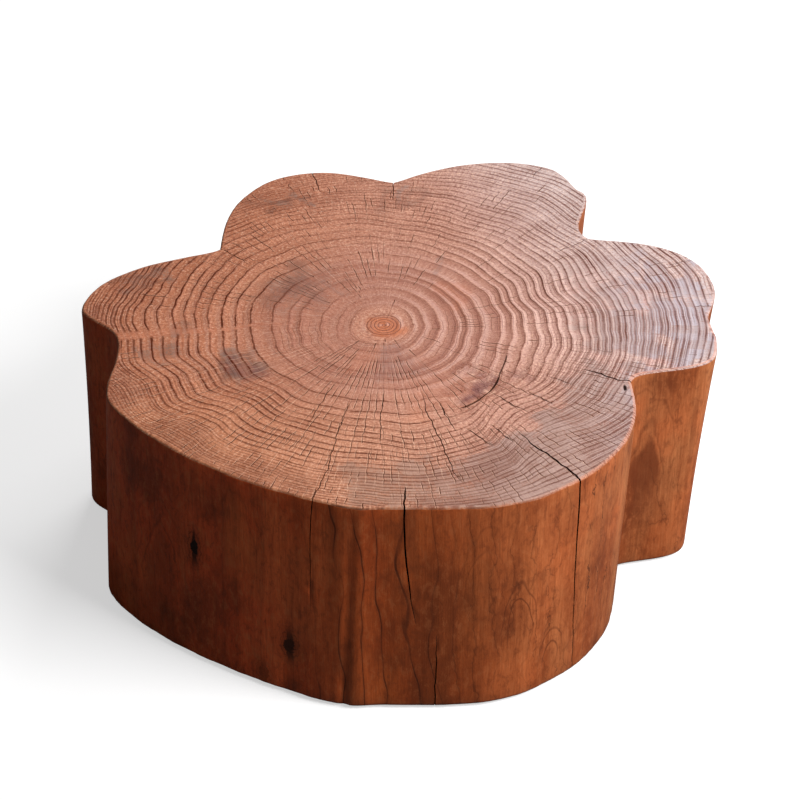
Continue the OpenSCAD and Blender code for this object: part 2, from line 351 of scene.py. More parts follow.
def down_the_wall(crack, shares):
    """Direction and openness of a crack on the wall, by the share of the height."""
    if not crack.wall:
        return np.full(len(shares), float(crack.top[-1][1])), np.zeros(len(shares))
    path = np.array(crack.wall, float)[::-1]
    wander = 0.1 * np.sin(shares * 29 + crack.width) + 0.06 * np.sin(shares * 71 + 2 * crack.width)
    direction = np.interp(shares, path[:, 0], path[:, 1]) + wander * (1 - shares)
    low = path[0, 0]
    if crack.from_foot:
        opened = 1 - smooth(shares, 0.2, 0.42)
    elif low > 0:
        opened = smooth(shares, low - 0.02, low + 0.5 * (1 - low))
    else:
        opened = 0.3 + 0.7 * shares
    return direction, opened


def brushed(growth, turns, width, depth):
    """How far the brushed top lies below its ring edges, which stand proud as fine crests."""
    ring = np.floor(growth)
    scoop = np.interp(growth - ring, (0,) + RING_STEPS, (0, 0.2, 0.82, 0.92, 0.2, 0))
    rng = np.random.default_rng(23)
    share = rng.uniform(0.6, 1.0, RINGS + 2)[ring.astype(int)]
    around = np.radians(turns)
    uneven = 1 + 0.25 * np.sin(around * 7 + ring * 2.3) + 0.15 * np.sin(around * 17 + ring)
    return scoop * share * depth * np.clip(width / 11, 0.4, 1.6) * np.clip(uneven, 0.5, 1.3)


def ring_radii(numbers):
    """Radius at some ring numbers in every column's direction, a row to each column."""
    paths = np.array(RING_PATHS, float)
    table = closed_curve(paths[:, 0], paths[:, 1:], COLUMN_TURNS)
    table = np.concatenate([np.zeros((COLUMNS, 1)), table, table[:, -1:] + LAST_RING_GAP], axis=1)
    for ring, direction, spread, outwards in RING_BENDS:
        off = angle_from(COLUMN_TURNS, direction) / spread
        table[:, RING_NUMBERS.index(ring)] += outwards * np.exp(-(off**2))
    return np.array([np.interp(numbers, RING_NUMBERS, row) for row in table])


def relief():
    """What RELIEF says, in every column's direction."""
    return closed_curve([row[0] for row in RELIEF], [row[1:] for row in RELIEF], COLUMN_TURNS)


def open_slanting_crack(radii, gap, deep):
    """Sink the crack that follows a ring past the bark knot, and draw its two lips to it."""
    seam = SLANT_RING * len(RING_STEPS)
    across = smooth(COLUMN_TURNS, 300, 301.5) * (1 - smooth(COLUMN_TURNS, 321, 323.5))
    tail = 0.3 * smooth(COLUMN_TURNS, 319, 323) * (1 - smooth(COLUMN_TURNS, 334, 338))
    gap[:, seam] = np.maximum(across, tail)
    deep[:, seam] = SLANT_DEPTH * across + 1.2 * tail
    for side in (-1, 1):
        lip = radii[:, seam] + side * SLANT_HALF
        radii[:, seam + side] = radii[:, seam + side] * (1 - across) + lip * across


def open_top_cracks(turns, radii, gap, deep):
    """Bend the columns so that each crack has one on each lip and one in its bottom, and sink it."""
    middles = crack_columns()
    ways = [over_the_top(crack, radii[middle]) for crack, middle in zip(CRACKS, middles)]
    for row in range(RING_ROWS):
        turns[:, row] += bend(middles, [direction[row] for direction, _ in ways])
    for crack, middle, (_, opened) in zip(CRACKS, middles, ways):
        far = radii[middle] > CRACKS_FROM
        half = crack.width / 2 * np.maximum(opened, 0.5) / np.maximum(radii[middle], NARROW_FROM)
        half = COLUMN_STEP + (np.degrees(half) - COLUMN_STEP) * smooth(opened, 0, 0.15)
        for side in (-1, 1):
            lip = (middle + side) % COLUMNS
            turns[lip] = np.where(far, turns[middle] + side * half, turns[lip])
        gap[middle] = np.maximum(gap[middle], opened * far * min(1, 0.45 + crack.depth / 14))
        deep[middle] = np.maximum(deep[middle], crack.depth * smooth(opened, 0.1, 1) * far)


def lay_rings():
    """Turn, radius, gap and depth of the top's points, a row to each stage of each ring."""
    radii = ring_radii(np.interp(ROW_GROWTH, np.arange(RINGS + 2), ring_edges()))
    turns = np.repeat(COLUMN_TURNS[:, None], RING_ROWS, axis=1)
    strength = relief()
    short = strength[:, 1:2] * waves(turns, radii, (30, 72), 260, 5)
    long = strength[:, 2:3] * waves(turns, radii, (7, 24), 420, 6)
    radii = radii + (short + long) * np.minimum(1, radii / 300) * smooth(radii, 0, 60)
    radii[:, 0] = 0
    radii = np.maximum.accumulate(radii, axis=1)
    gap = np.zeros_like(radii)
    deep = np.zeros_like(radii)
    open_slanting_crack(radii, gap, deep)
    open_top_cracks(turns, radii, gap, deep)
    return turns, radii, gap, deep


def top_points():
    """The top's points, with their growth and ring width. Rows past the rim are drawn back to it."""
    turns, radii, gap, deep = lay_rings()
    growth = np.repeat(ROW_GROWTH[None, :], COLUMNS, axis=0)
    width = np.gradient(radii, ROW_GROWTH, axis=1)
    rim_curve = drawn_in(EDGE_ROUND)
    for j in range(COLUMNS):
        reach = reach_at(rim_curve, turns[j]) - SHELF
        over = radii[j] > reach - SHELF_CLEAR
        first = int(np.argmax(over)) if over.any() else RING_ROWS - 1
        stop = reach[first]
        for values in (growth, width, gap, deep):
            values[j, first:] = np.interp(stop, radii[j], values[j])
        radii[j, first:] = stop
        turns[j, first:] = turns[j, first]
    return turns, radii, growth, width, gap, deep


def wall_turns(shares):
    """Turn, gap and depth of the wall's points, with the cracks that run down it."""
    turns = np.zeros((COLUMNS, len(shares)))
    gap = np.zeros_like(turns)
    deep = np.zeros_like(turns)
    middles = crack_columns()
    ways = [down_the_wall(crack, shares) for crack in CRACKS]
    for row in range(len(shares)):
        turns[:, row] = COLUMN_TURNS + bend(middles, [direction[row] for direction, _ in ways])
    for crack, middle, (_, opened) in zip(CRACKS, middles, ways):
        if not crack.wall:
            continue
        half = np.degrees(crack.width / 2 * np.maximum(opened, 0.45) / 400)
        for side in (-1, 1):
            turns[(middle + side) % COLUMNS] = turns[middle] + side * half
        gap[middle] = opened
        deep[middle] = crack.depth * smooth(opened, 0.25, 1)
    return turns, gap, deep


def side_points(rim_turns, rim_sunk):
    """Turn, radius, height and gap of the rim, wall and foot, from the edge down."""
    rim = np.radians(RIM_TURNS)
    foot = np.radians(FOOT_TURNS)
    rim_z = TOP - EDGE_ROUND * (1 - np.cos(rim))
    wall_z = np.linspace(TOP - EDGE_ROUND, SOLE + FOOT_ROUND, WALL_ROWS + 1)[1:]
    foot_z = SOLE + FOOT_ROUND * (1 - np.sin(foot))
    z = np.concatenate([rim_z, wall_z, foot_z])
    shares = (z - SOLE) / HEIGHT
    turns, gap, deep = wall_turns(np.clip(shares, 0, 1))
    turns = turns + angle_from(rim_turns[:, None], turns) * smooth(shares, 0.9, 1.0)[None, :]
    fall = 1 - shares
    reach, extra = outline(turns)
    radii = reach - SKIN + extra * (1 - (1 - fall) ** 2) - 4 * WAIST * fall * (1 - fall)
    for k, turn in enumerate(rim):
        radii[:, k] = reach_at(drawn_in(EDGE_ROUND * (1 - math.sin(turn))), turns[:, k])
    for k, turn in enumerate(foot, len(rim) + WALL_ROWS):
        radii[:, k] = reach_at(drawn_in(FOOT_ROUND * (1 - math.cos(turn)), True), turns[:, k])
    inward = np.concatenate([np.sin(rim), np.ones(WALL_ROWS), np.cos(foot)])[None, :]
    flutes = 0.55 * (1 + np.clip(waves(turns, z[None, :], (9, 44), 900, 41), -1, 1))
    flutes = flutes + 0.14 * (1 + np.clip(waves(turns, z[None, :], (90, 190), 1500, 42), -1, 1))
    fold = np.exp(-((angle_from(turns, FOLD) / 0.8) ** 2)) * (1.2 + 3.4 * fall)
    radii = radii - (flutes + fold + deep) * inward
    heights = np.repeat(z[None, :], COLUMNS, axis=0)
    heights[:, : len(rim)] += rim_sunk[:, None] * (np.cos(rim) ** 2)[None, :]
    return turns, radii, heights, gap


def skin():
    """Turn, radius and height of every point of the log's skin, and its growth, ring width and gap."""
    turns, radii, growth, width, gap, deep = top_points()
    from_rim = reach_at(drawn_in(EDGE_ROUND), turns) - radii
    depth = relief()[:, :1] * (1 - 0.6 * smooth(radii, 230, 380)) * (0.3 + 0.7 * smooth(from_rim, 0, 14))
    level = CREST - brushed(growth, turns, width, depth * smooth(radii, 18, 80))
    level = level - 0.3 * (1 + np.clip(drift(*in_plan(turns, radii), 160, 31), -1, 1)) - deep
    level = level - 0.6 * furrow(turns, radii, 0.8, 1.3)
    level[:, 0] = TOP - 0.8
    side_turns, side_radii, side_z, side_gap = side_points(turns[:, -1], level[:, -1] - CREST)
    below = ((0, 0), (0, side_gap.shape[1]))
    facts = {
        "growth": np.pad(growth, below, mode="edge"),
        "ring_width": np.pad(width, below, mode="edge"),
        "gap": np.concatenate([gap, side_gap], axis=1),
    }
    all_turns = np.concatenate([turns, side_turns], axis=1)
    all_radii = np.concatenate([radii, side_radii], axis=1)
    all_z = np.concatenate([level, side_z], axis=1)
    return all_turns, all_radii, all_z, facts


def patch(turns, radii, centre, spread, inner, outer, soft=0.35):
    """Share of a soft-edged patch between two directions and two radii."""
    across = np.abs(angle_from(turns, centre)) / spread
    middle = (inner + outer) / 2
    along = np.abs(radii - middle) / ((outer - inner) / 2)
    return (1 - smooth(across, 1 - soft, 1 + soft)) * (1 - smooth(along, 1 - soft, 1 + soft))


# Stains and colour patches of the top, some partly painted shadow: centre direction, half spread, inner and
# outer radius, share.
WEATHERED = (
    (325, 17, 285, 460, 0.9),
    (305, 16, 300, 450, 1.0),
    (286, 13, 318, 440, 0.75),
    (274, 11, 305, 400, 0.8),
    (359, 10, 275, 478, 0.95),
    (15, 5, 290, 480, 0.75),
    (27, 5, 300, 440, 0.5),
    (338.5, 4, 295, 370, 0.8),
    (86, 3, 305, 372, 0.7),
    (63.5, 3, 138, 182, 0.6),
    (143, 24, 95, 190, 0.45),
    (161, 2.5, 325, 400, 0.6),
    (191, 5, 285, 345, 0.5),
    (207, 9, 200, 240, 0.7),
    (281, 20, 50, 132, 0.5),
    (112, 2, 325, 372, 0.6),
    (119, 2, 340, 380, 0.6),
)
WARM = (
    (0, 180, -27, 27, 1.0),
    (295, 17, 85, 212, 0.35),
    (312, 9, 165, 215, 0.4),
    (252, 14, 55, 115, 0.45),
    (35, 17, 105, 145, 0.6),
)
PURPLE = (
    (310, 8, 188, 212, 1.0),
    (330, 3, 215, 245, 0.4),
    (281, 18, 55, 125, 0.3),
    (207, 8, 205, 235, 0.4),
    (317, 4, 180, 196, 0.6),
)
ROSY = ((7.5, 1.2, 405, 455, 0.9), (343, 2.5, 340, 450, 0.6), (8, 14, 250, 480, 0.3))
# Rayed patches: pale lines along the rays, drawn as the checks' lips of painted highlight, strongest here
# and also shown without a dark gap.
RAYED = (
    (226, 33, 100, 405, 0.9),
    (262, 30, 60, 405, 0.8),
    (300, 25, 130, 440, 0.5),
    (75, 30, 150, 300, 0.4),
)
# Share of the fine checks that have opened.
CHECKED = (
    (0, 180, -60, 520, 0.03),
    (258, 45, 70, 345, 0.75),
    (262, 30, 320, 410, 0.45),
    (235, 40, 250, 400, 0.25),
    (300, 30, 110, 440, 0.6),
    (318, 26, 250, 450, 0.75),
    (128, 38, 110, 330, 0.6),
    (88, 40, 120, 420, 0.3),
    (358, 30, 90, 330, 0.3),
    (20, 20, 300, 480, 0.1),
)
# Dark patches: stains, and the two at 141 and 204 degrees partly painted shadow.
DARKENED = (
    (141, 17, 120, 195, 0.8),
    (204, 7, 190, 236, 0.9),
    (190.5, 3.5, 285, 340, 0.55),
    (119.2, 2.2, 352, 372, 0.7),
    (111.3, 2.2, 342, 352, 0.7),
    (160.5, 2, 330, 400, 0.6),
    (88, 3, 290, 375, 0.4),
)
KNOTTY = ((311, 13, 150, 214, 1.0), (309, 17, 205, 235, 0.45))

# The wall: direction, half spread, low and high in hundredths of the height, share.
WALL_LINED = (
    (269, 11, -30, 130, 1.0),
    (293, 20, -30, 130, 0.5),
    (319, 8, -30, 130, 0.3),
    (250, 9, -30, 130, 0.2),
    (352, 9, -30, 130, 0.5),
    (30, 26, -30, 130, 0.5),
    (98, 22, -30, 130, 0.6),
    (150, 20, -30, 130, 0.4),
)
# Darker patches of the wall: partly darker wood, partly painted shade beside the front crack's top, at the
# foot of the fold and low at the front left.
WALL_DARK = (
    (277, 19, -40, 140, 0.5),
    (275.4, 1.6, 62, 120, 1.0),
    (267, 2.2, -20, 28, 0.8),
    (214, 12, -20, 24, 0.6),
    (60, 8, 20, 60, 0.5),
    (125, 9, 40, 90, 0.5),
)
WALL_CRACKLED = (
    (314, 6, 15, 105, 1.0),
    (303, 6, -5, 40, 0.7),
    (290, 8, 25, 70, 0.35),
    (70, 8, 40, 105, 0.8),
    (160, 8, -5, 60, 0.6),
)


def patches(turns, radii, table, seed, turn_drift=2.4, drift_out=9, soft=0.35):
    """The strongest patch of a table at each point, with its edges drifting in and out."""
    x, y = in_plan(turns, radii)
    turns = turns + turn_drift * drift(x, y, 45, seed)
    radii = radii + drift_out * drift(x, y, 40, seed + 1)
    total = np.zeros_like(radii)
    for centre, spread, inner, outer, share in table:
        total = np.maximum(total, share * patch(turns, radii, centre, spread, inner, outer, soft))
    return total


def add_facts(facts, turns, radii, x, z):
    """Add what the finishes read at each point: stains, checks, rays, how the rings stand out, and where
    sheen, shade, shadow and a rim highlight are painted.
    """
    row = np.arange(turns.shape[1])[None, :]
    on_top = row < RING_ROWS + 2
    for name, table, seed in (("weather", WEATHERED, 51), ("warmth", WARM, 53), ("purple", PURPLE, 55),
                              ("rays", RAYED, 59), ("checked", CHECKED, 61)):
        facts[name] = patches(turns, radii, table, seed) * on_top
    facts["dark"] = patches(turns, radii, DARKENED, 64, 4, 12, 0.7) * on_top
    facts["rosy"] = patches(turns, radii, ROSY, 57, 2, 20, 0.8) * on_top
    facts["knotty"] = patches(turns, radii, KNOTTY, 63, 5, 14, 0.8) * on_top
    facts["rim"] = np.repeat((row >= RING_ROWS) * on_top, COLUMNS, axis=0) * 1.0
    facts["furrow"] = furrow(turns, radii, 0.7, 1.3) * on_top
    facts["banks"] = furrow(turns, radii, 1.2, 3.2) * smooth(angle_from(turns, 182.5), -1, 1) * on_top
    # Paler, greyer wood to the right: partly weathering, partly painted sheen.
    facts["bleach"] = smooth(x, -290, 340) * on_top
    strength = relief()
    facts["ridges"] = np.repeat(strength[:, :1], turns.shape[1], axis=1)
    facts["lined"] = strength[:, 3:4] * (0.4 + 0.6 * smooth(radii, 110, 230)) * (row < RING_ROWS)
    share = (z - SOLE) / HEIGHT * 100
    for name, table, seed in (("lined", WALL_LINED, 65), ("weather", WALL_DARK, 67),
                              ("checked", WALL_CRACKLED, 69)):
        facts[name] = np.where(on_top, facts[name], patches(turns, share, table, seed, 1.2, 3))


# The underside's pockets and holes and the felt rings in them, as the solids have them.
GLIDES = (
    (356.86, 40.2),
    (171.01, 338.84),
    (-166.67, 300.21),
    (-379.94, 28.0),
    (-243.16, -247.95),
    (133.15, -327.16),
)
POCKET_R = 25.5
POCKET_TOP = 9.0
HOLE_R = 2.35
HOLE_TOP = 43.0
FELT_R = 22.8
FELT_HOLE_R = 7.0
FELT_T = 6.0
FELT_SMALLER = 0.3  # the modelled ring stays this far inside the solid's sides
FELT_THINNER = 0.25  # and this far inside its two faces
LEVEL_SLACK = 0.01


def places(items, field="co"):
    """Places of some points, or of the middles of some faces, in millimetres."""
    values = np.empty(len(items) * 3)
    items.foreach_get(field, values)
    return values.reshape(-1, 3) / MM


def pick(obj, test):
    """In edit mode, selects the edges whose two ends both pass a test of their place in millimetres."""
    bpy.ops.object.mode_set(mode="OBJECT")
    mesh = obj.data
    chosen = test(*places(mesh.vertices).T)
    ends = np.empty(len(mesh.edges) * 2, int)
    mesh.edges.foreach_get("vertices", ends)
    mesh.vertices.foreach_set("select", chosen)
    mesh.edges.foreach_set("select", chosen[ends.reshape(-1, 2)].all(axis=1))
    mesh.polygons.foreach_set("select", np.zeros(len(mesh.polygons), bool))
    bpy.ops.object.mode_set(mode="EDIT")
    bpy.ops.mesh.select_mode(type="EDGE")


def level_within(radius, middle, level):
    """Test for points at some height that lie within a radius of a middle."""
    def test(x, y, z):
        inside = np.hypot(x - middle[0], y - middle[1]) < radius
        return inside & (np.abs(z - level) < LEVEL_SLACK)
    return test


def circle(vertices, radius, middle, z):
    """Ring of edges about a middle, at some height."""
    spot = (middle[0] * MM, middle[1] * MM, z * MM)
    bpy.ops.mesh.primitive_circle_add(vertices=vertices, radius=radius * MM, location=spot)


def lift(height):
    """Draw a wall up from the chosen edges."""
    bpy.ops.mesh.extrude_edges_move(TRANSFORM_OT_translate={"value": (0, 0, height * MM)})


def roll_grid(x, y, z, facts):
    """The log's skin as a grid rolled about the pith, open at the foot. Its points keep the facts."""
    rows = x.shape[1]
    bpy.ops.object.select_all(action="DESELECT")
    bpy.ops.mesh.primitive_grid_add(x_subdivisions=COLUMNS, y_subdivisions=rows - 1, size=1)
    log = bpy.context.object
    log.name = "log_slice"
    mesh = log.data
    mesh.name = "log_slice"
    spots = places(mesh.vertices) * MM
    column = np.round((spots[:, 0] + 0.5) * COLUMNS).astype(int) % COLUMNS
    row = np.round((spots[:, 1] + 0.5) * (rows - 1)).astype(int)
    every = np.ones(rows, int)
    for limit, step in sorted(THINNING, reverse=True):
        every[:RING_ROWS][ROW_GROWTH <= limit] = step
    column = column // every[row] * every[row]
    placed = np.stack([x[column, row], y[column, row], z[column, row]], axis=1) * MM
    mesh.vertices.foreach_set("co", placed.ravel())
    for name, values in facts.items():
        layer = mesh.attributes.new(name, "FLOAT", "POINT")
        layer.data.foreach_set("value", np.asarray(values, float)[column, row])
    corners = np.empty(len(mesh.polygons) * 4, int)
    mesh.loops.foreach_get("vertex_index", corners)
    highest_row = row[corners.reshape(-1, 4)].min(axis=1)
    mesh.polygons.foreach_set("material_index", (highest_row > RING_ROWS + 2).astype(int))
    while mesh.uv_layers:
        mesh.uv_layers.remove(mesh.uv_layers[0])
    return log


def close_underside(log):
    """Close the grid's seams and the foot, and let in a pocket and a screw hole for each glide."""
    bpy.ops.object.mode_set(mode="EDIT")
    bpy.ops.mesh.select_all(action="SELECT")
    bpy.ops.mesh.remove_doubles(threshold=0.00002)
    bpy.ops.mesh.dissolve_degenerate(threshold=0.000005)
    for middle in GLIDES:
        circle(64, POCKET_R, middle, SOLE)
    pick(log, level_within(math.inf, (0, 0), SOLE))
    bpy.ops.mesh.fill(use_beauty=True)
    for middle in GLIDES:
        pick(log, level_within(POCKET_R + 0.1, middle, SOLE))
        lift(POCKET_TOP - SOLE)
        circle(32, HOLE_R, middle, POCKET_TOP)
        pick(log, level_within(POCKET_R + 0.1, middle, POCKET_TOP))
        bpy.ops.mesh.fill(use_beauty=True)
        pick(log, level_within(HOLE_R + 0.1, middle, POCKET_TOP))
        lift(HOLE_TOP - POCKET_TOP)
        bpy.ops.mesh.edge_face_add()
    bpy.ops.mesh.select_all(action="SELECT")
    bpy.ops.mesh.normals_make_consistent(inside=False)
    bpy.ops.object.mode_set(mode="OBJECT")


def mark_underside(mesh):
    """Give the underside and its pockets the third finish, after the top's and the wall's."""
    x, y, z = places(mesh.polygons, "center").T
    slots = np.empty(len(mesh.polygons), int)
    mesh.polygons.foreach_get("material_index", slots)
    under = z < SOLE + 0.05
    for middle in GLIDES:
        under |= (np.hypot(x - middle[0], y - middle[1]) < POCKET_R + 0.2) & (z < HOLE_TOP + 1)
    slots[under] = 2
    mesh.polygons.foreach_set("material_index", slots)


def model_log():
    """One closed skin: the rolled grid, then the underside with its pockets and screw holes."""
    turns, radii, z, facts = skin()
    x, y = in_plan(turns, radii)
    fall = (TOP - z) / HEIGHT
    x = PITH[0] + LEAN * fall + x
    add_facts(facts, turns, radii, x, z)
    log = roll_grid(x, PITH[1] + y, z, facts)
    close_underside(log)
    mark_underside(log.data)
    bpy.ops.object.shade_smooth_by_angle(angle=math.radians(55))
    for material in (oiled_top(), debarked_wall(), sawn_underside()):
        log.data.materials.append(material)
    return log


def srgb(colour):
    """A colour as a screen shows it, in the shader's own scale."""
    shares = [value / 255 for value in colour]
    plain = [value / 12.92 if value <= 0.04045 else ((value + 0.055) / 1.055) ** 2.4 for value in shares]
    return (*plain, 1.0)


class Nodes:
    """A node tree, with short words for joining its nodes."""

    def __init__(self, owner, output):
        owner.use_nodes = True
        self.tree = owner.node_tree
        self.tree.nodes.clear()
        self.output = self.node(output)

    def feed(self, socket, value):
        """Join a node's output to a socket, or set a plain value on it."""
        if isinstance(value, bpy.types.NodeSocket):
            self.tree.links.new(value, socket)
        else:
            socket.default_value = value

    def node(self, kind, *values, **settings):
        """A new node with its settings, its first sockets fed in turn."""
        node = self.tree.nodes.new("ShaderNode" + kind)
        for setting, value in settings.items():
            setattr(node, setting, value)
        for socket, value in zip(node.inputs, values):
            self.feed(socket, value)
        return node

    def place(self):
        """Place on the object, in metres."""
        return self.node("TexCoord").outputs["Object"]

    def attribute(self, name):
        """A fact that the points carry."""
        return self.node("Attribute", attribute_name=name).outputs["Fac"]

    def math(self, operation, *values):
        return self.node("Math", *values, operation=operation).outputs[0]

    def chain(self, operation, values):
        """Join numbers one after another by an operation."""
        total = values[0]
        for value in values[1:]:
            total = self.math(operation, total, value)
        return total

    def times(self, *values):
        return self.chain("MULTIPLY", values)

    def plus(self, *values):
        return self.chain("ADD", values)

    def most(self, *values):
        return self.chain("MAXIMUM", values)

    def least(self, *values):
        return self.chain("MINIMUM", values)

    def minus(self, first, second):
        return self.math("SUBTRACT", first, second)

    def total(self, *products):
        """Sum of products, each given as its factors."""
        return self.plus(*[self.times(*factors) for factors in products])

    def linear(self, value, slope, start):
        return self.math("MULTIPLY_ADD", value, slope, start)

    def fold(self, value):
        """How far a number lies from the nearest whole one."""
        return self.math("PINGPONG", value, 0.5)

    def vector(self, operation, *values):
        node = self.node("VectorMath", *values, operation=operation)
        return node.outputs["Value" if operation == "LENGTH" else "Vector"]

    def join(self, x, y, z):
        return self.node("CombineXYZ", x, y, z).outputs[0]

    def parts(self, vector):
        return self.node("SeparateXYZ", vector).outputs

    def noise(self, vector, scale, detail=2.0, roughness=0.5, distortion=0.0):
        """Noise at some places. A scale of three numbers stretches it."""
        if isinstance(scale, tuple):
            vector = self.vector("MULTIPLY", vector, scale)
            scale = 1.0
        node = self.node("TexNoise")
        self.feed(node.inputs["Vector"], vector)
        node.inputs["Scale"].default_value = scale
        node.inputs["Detail"].default_value = detail
        node.inputs["Roughness"].default_value = roughness
        node.inputs["Distortion"].default_value = distortion
        return node.outputs[0]

    def shifted(self, vector, scale, most):
        """The places moved about by a noise, by up to half a length in every direction."""
        node = self.node("TexNoise")
        self.feed(node.inputs["Vector"], vector)
        node.inputs["Scale"].default_value = scale
        way = self.vector("SUBTRACT", node.outputs["Color"], (0.5, 0.5, 0.5))
        return self.vector("MULTIPLY_ADD", way, (most, most, most), vector)

    def random(self, *values):
        """A number from 0 to 1 that is the same wherever the three given numbers are."""
        node = self.node("TexWhiteNoise")
        self.feed(node.inputs["Vector"], self.join(*values))
        return node.outputs["Value"]

    def ease(self, value, low, high, start=0.0, end=1.0):
        """From the start to the end between two values, eased."""
        node = self.node("MapRange", value, low, high, start, end, interpolation_type="SMOOTHSTEP")
        return node.outputs[0]

    def mix(self, share, first, second):
        """A share of the second colour over the first. A plain colour is given as a screen shows it."""
        node = self.node("Mix", share, data_type="RGBA")
        for socket, colour in zip(node.inputs[6:8], (first, second)):
            self.feed(socket, srgb(colour) if isinstance(colour, tuple) else colour)
        return node.outputs[2]


class Finish(Nodes):
    """A material, with its colour as it builds up."""

    def __init__(self, name):
        self.material = bpy.data.materials.new(name)
        super().__init__(self.material, "OutputMaterial")
        self.shader = self.node("BsdfPrincipled")
        self.tree.links.new(self.shader.outputs["BSDF"], self.output.inputs["Surface"])
        self.colour = None

    def tint(self, share, colour):
        """Lay a share of a colour over what there is."""
        self.colour = self.mix(share, self.colour, colour)

    def finish(self, roughness, height, depth, strength):
        """Feed the shader: the colour, the roughness, and a bump from a height."""
        bump = self.node("Bump")
        bump.inputs["Strength"].default_value = strength
        bump.inputs["Distance"].default_value = depth
        self.feed(bump.inputs["Height"], height)
        self.feed(self.shader.inputs["Base Color"], self.colour)
        self.feed(self.shader.inputs["Roughness"], roughness)
        self.feed(self.shader.inputs["Normal"], bump.outputs[0])
        return self.material


TOP_FACTS = ("growth", "ring_width", "gap", "weather", "warmth", "rosy", "purple", "dark", "furrow",
             "banks", "rays", "ridges", "knotty", "checked", "bleach", "lined", "rim")
PIT = (0.3281, -0.1459, 0)  # a small pit near the front right crease, painted near-black as the shade in it, from the pith in metres


def read_top(f):
    """Places about the pith in plan, and the facts that the top's points carry."""
    place = f.place()
    flat = f.vector("MULTIPLY", f.vector("SUBTRACT", place, (PITH[0] * MM, PITH[1] * MM, 0)), (1, 1, 0))
    x, y, _ = f.parts(flat)
    facts = {name: f.attribute(name) for name in TOP_FACTS}
    top = SimpleNamespace(place=place, flat=flat, x=x, y=y, **facts)
    top.reach = f.vector("LENGTH", flat)
    top.turn = f.math("ARCTAN2", y, x)
    top.near = f.times(f.ease(top.reach, 0.24, 0.13), f.ease(top.reach, 0.03, 0.06))
    return top


def along_rays(f, top, fineness, length, shift):
    """Places for a noise that is drawn out along the rays from the pith."""
    lifted = f.join(0.0, 0.0, f.linear(top.reach, length, shift))
    return f.vector("MULTIPLY_ADD", f.vector("NORMALIZE", top.flat), (fineness, fineness, 0), lifted)


def scatter(f, top):
    """The noises of the top: mottling, specks, clouds, fibres and strokes along the rays, and curls."""
    top.mottle = f.noise(top.place, 260, 3, 0.65)
    top.speck = f.noise(top.place, 900, 3, 0.7)
    top.broad = f.noise(top.place, 7, 3, 0.6)
    top.fibre = f.noise(along_rays(f, top, 330, 42, 0.0), 1.0, 3, 0.6)
    top.stroke = f.noise(along_rays(f, top, 150, 34, 3.0), 1.0, 2, 0.5)
    outward = f.total((top.growth, 1.9), (f.noise(top.place, 34, 3, 0.6), 4.0))
    top.curl = f.noise(f.join(outward, f.times(top.turn, 9.0), 0.0), 1.0, 5, 0.7)
    top.strand = f.ease(f.fold(f.times(top.curl, 9.0)), 0.17, 0.04)


def follow_rings(f, top):
    """Dark lines on the ring edges with a softer band of painted shade beside them, second lines between
    them, and fine lines.
    """
    swirl = f.times(f.minus(f.noise(top.place, 32, 3, 0.6, 0.8), 0.5), top.knotty, 3.2)
    wobble = f.linear(f.minus(f.noise(top.place, 80, 2), 0.5), 0.08, top.growth)
    top.exact = f.plus(wobble, swirl)
    top.ring = f.math("FLOOR", top.exact)
    top.phase = f.math("FRACT", top.exact)
    uneven = f.minus(top.mottle, 0.5)
    off = f.total((f.fold(top.exact), top.ring_width), (uneven, 1.5))
    each = f.ease(f.random(f.math("ROUND", top.exact), 3.0, 0.0), 0.0, 0.7, 0.75, 1.0)
    dense = f.ease(top.ring_width, 4.0, 9.0, 0.5, 1.0)
    share = f.times(dense, f.ease(f.noise(top.place, 30, 3), 0.3, 0.6, 0.5, 1.0), top.lined, each)
    clear = f.times(f.minus(1.0, f.times(top.furrow, 0.95)), f.minus(1.0, f.times(top.knotty, 0.4)))
    thick = f.linear(top.banks, 1.1, f.ease(top.bleach, 0.35, 0.6, 1.95, 1.65))
    half_line = f.least(thick, f.times(top.ring_width, 0.3))
    half_line_shade = f.least(4.4, f.times(top.ring_width, 0.42))
    top.line = f.times(f.ease(off, half_line, 0.6), share, clear)
    top.bank = f.times(f.ease(off, half_line_shade, 1.0), share, clear)
    between = f.plus(f.math("ABSOLUTE", f.minus(top.phase, 0.48)), f.times(uneven, 0.12))
    top.second = f.times(f.ease(between, 0.1, 0.02), f.ease(top.ring_width, 6.5, 9.0),
                         f.ease(top.reach, 0.24, 0.32), f.ease(f.random(top.ring, 9.0, 2.0), 0.3, 0.9),
                         f.ease(top.bleach, 0.5, 0.8))
    fine_growth = f.linear(f.noise(top.place, 40, 2), 0.8, f.times(top.exact, 3.0))
    fine_off = f.times(f.fold(fine_growth), top.ring_width, 0.3333)
    shown = f.ease(f.noise(top.place, 15, 2), 0.38, 0.6)
    top.fine_line = f.times(f.ease(fine_off, 0.8, 0.2), shown, clear)


def checks(f, top, per_radian, seed):
    """Fine lines that run out from the pith and stop and start at the rings: distance and chance."""
    uneven = f.noise(f.join(f.times(top.turn, per_radian * 0.2), seed, 0.0), 1.0, 1)
    wander = f.noise(f.join(f.times(top.turn, per_radian * 0.5), f.times(top.reach, 75), seed), 1.0, 2)
    across = f.total((top.turn, per_radian), (uneven, 1.4), (wander, 0.5))
    number = f.math("FLOOR", across)
    side = f.minus(f.math("FRACT", across), f.linear(f.random(number, top.ring, seed), 0.1, 0.45))
    run = f.math("FLOOR", f.linear(top.exact, 0.4, f.times(f.random(number, seed, 5.0), 9.0)))
    return f.times(side, top.reach, 1000 / per_radian), f.random(number, run, seed)


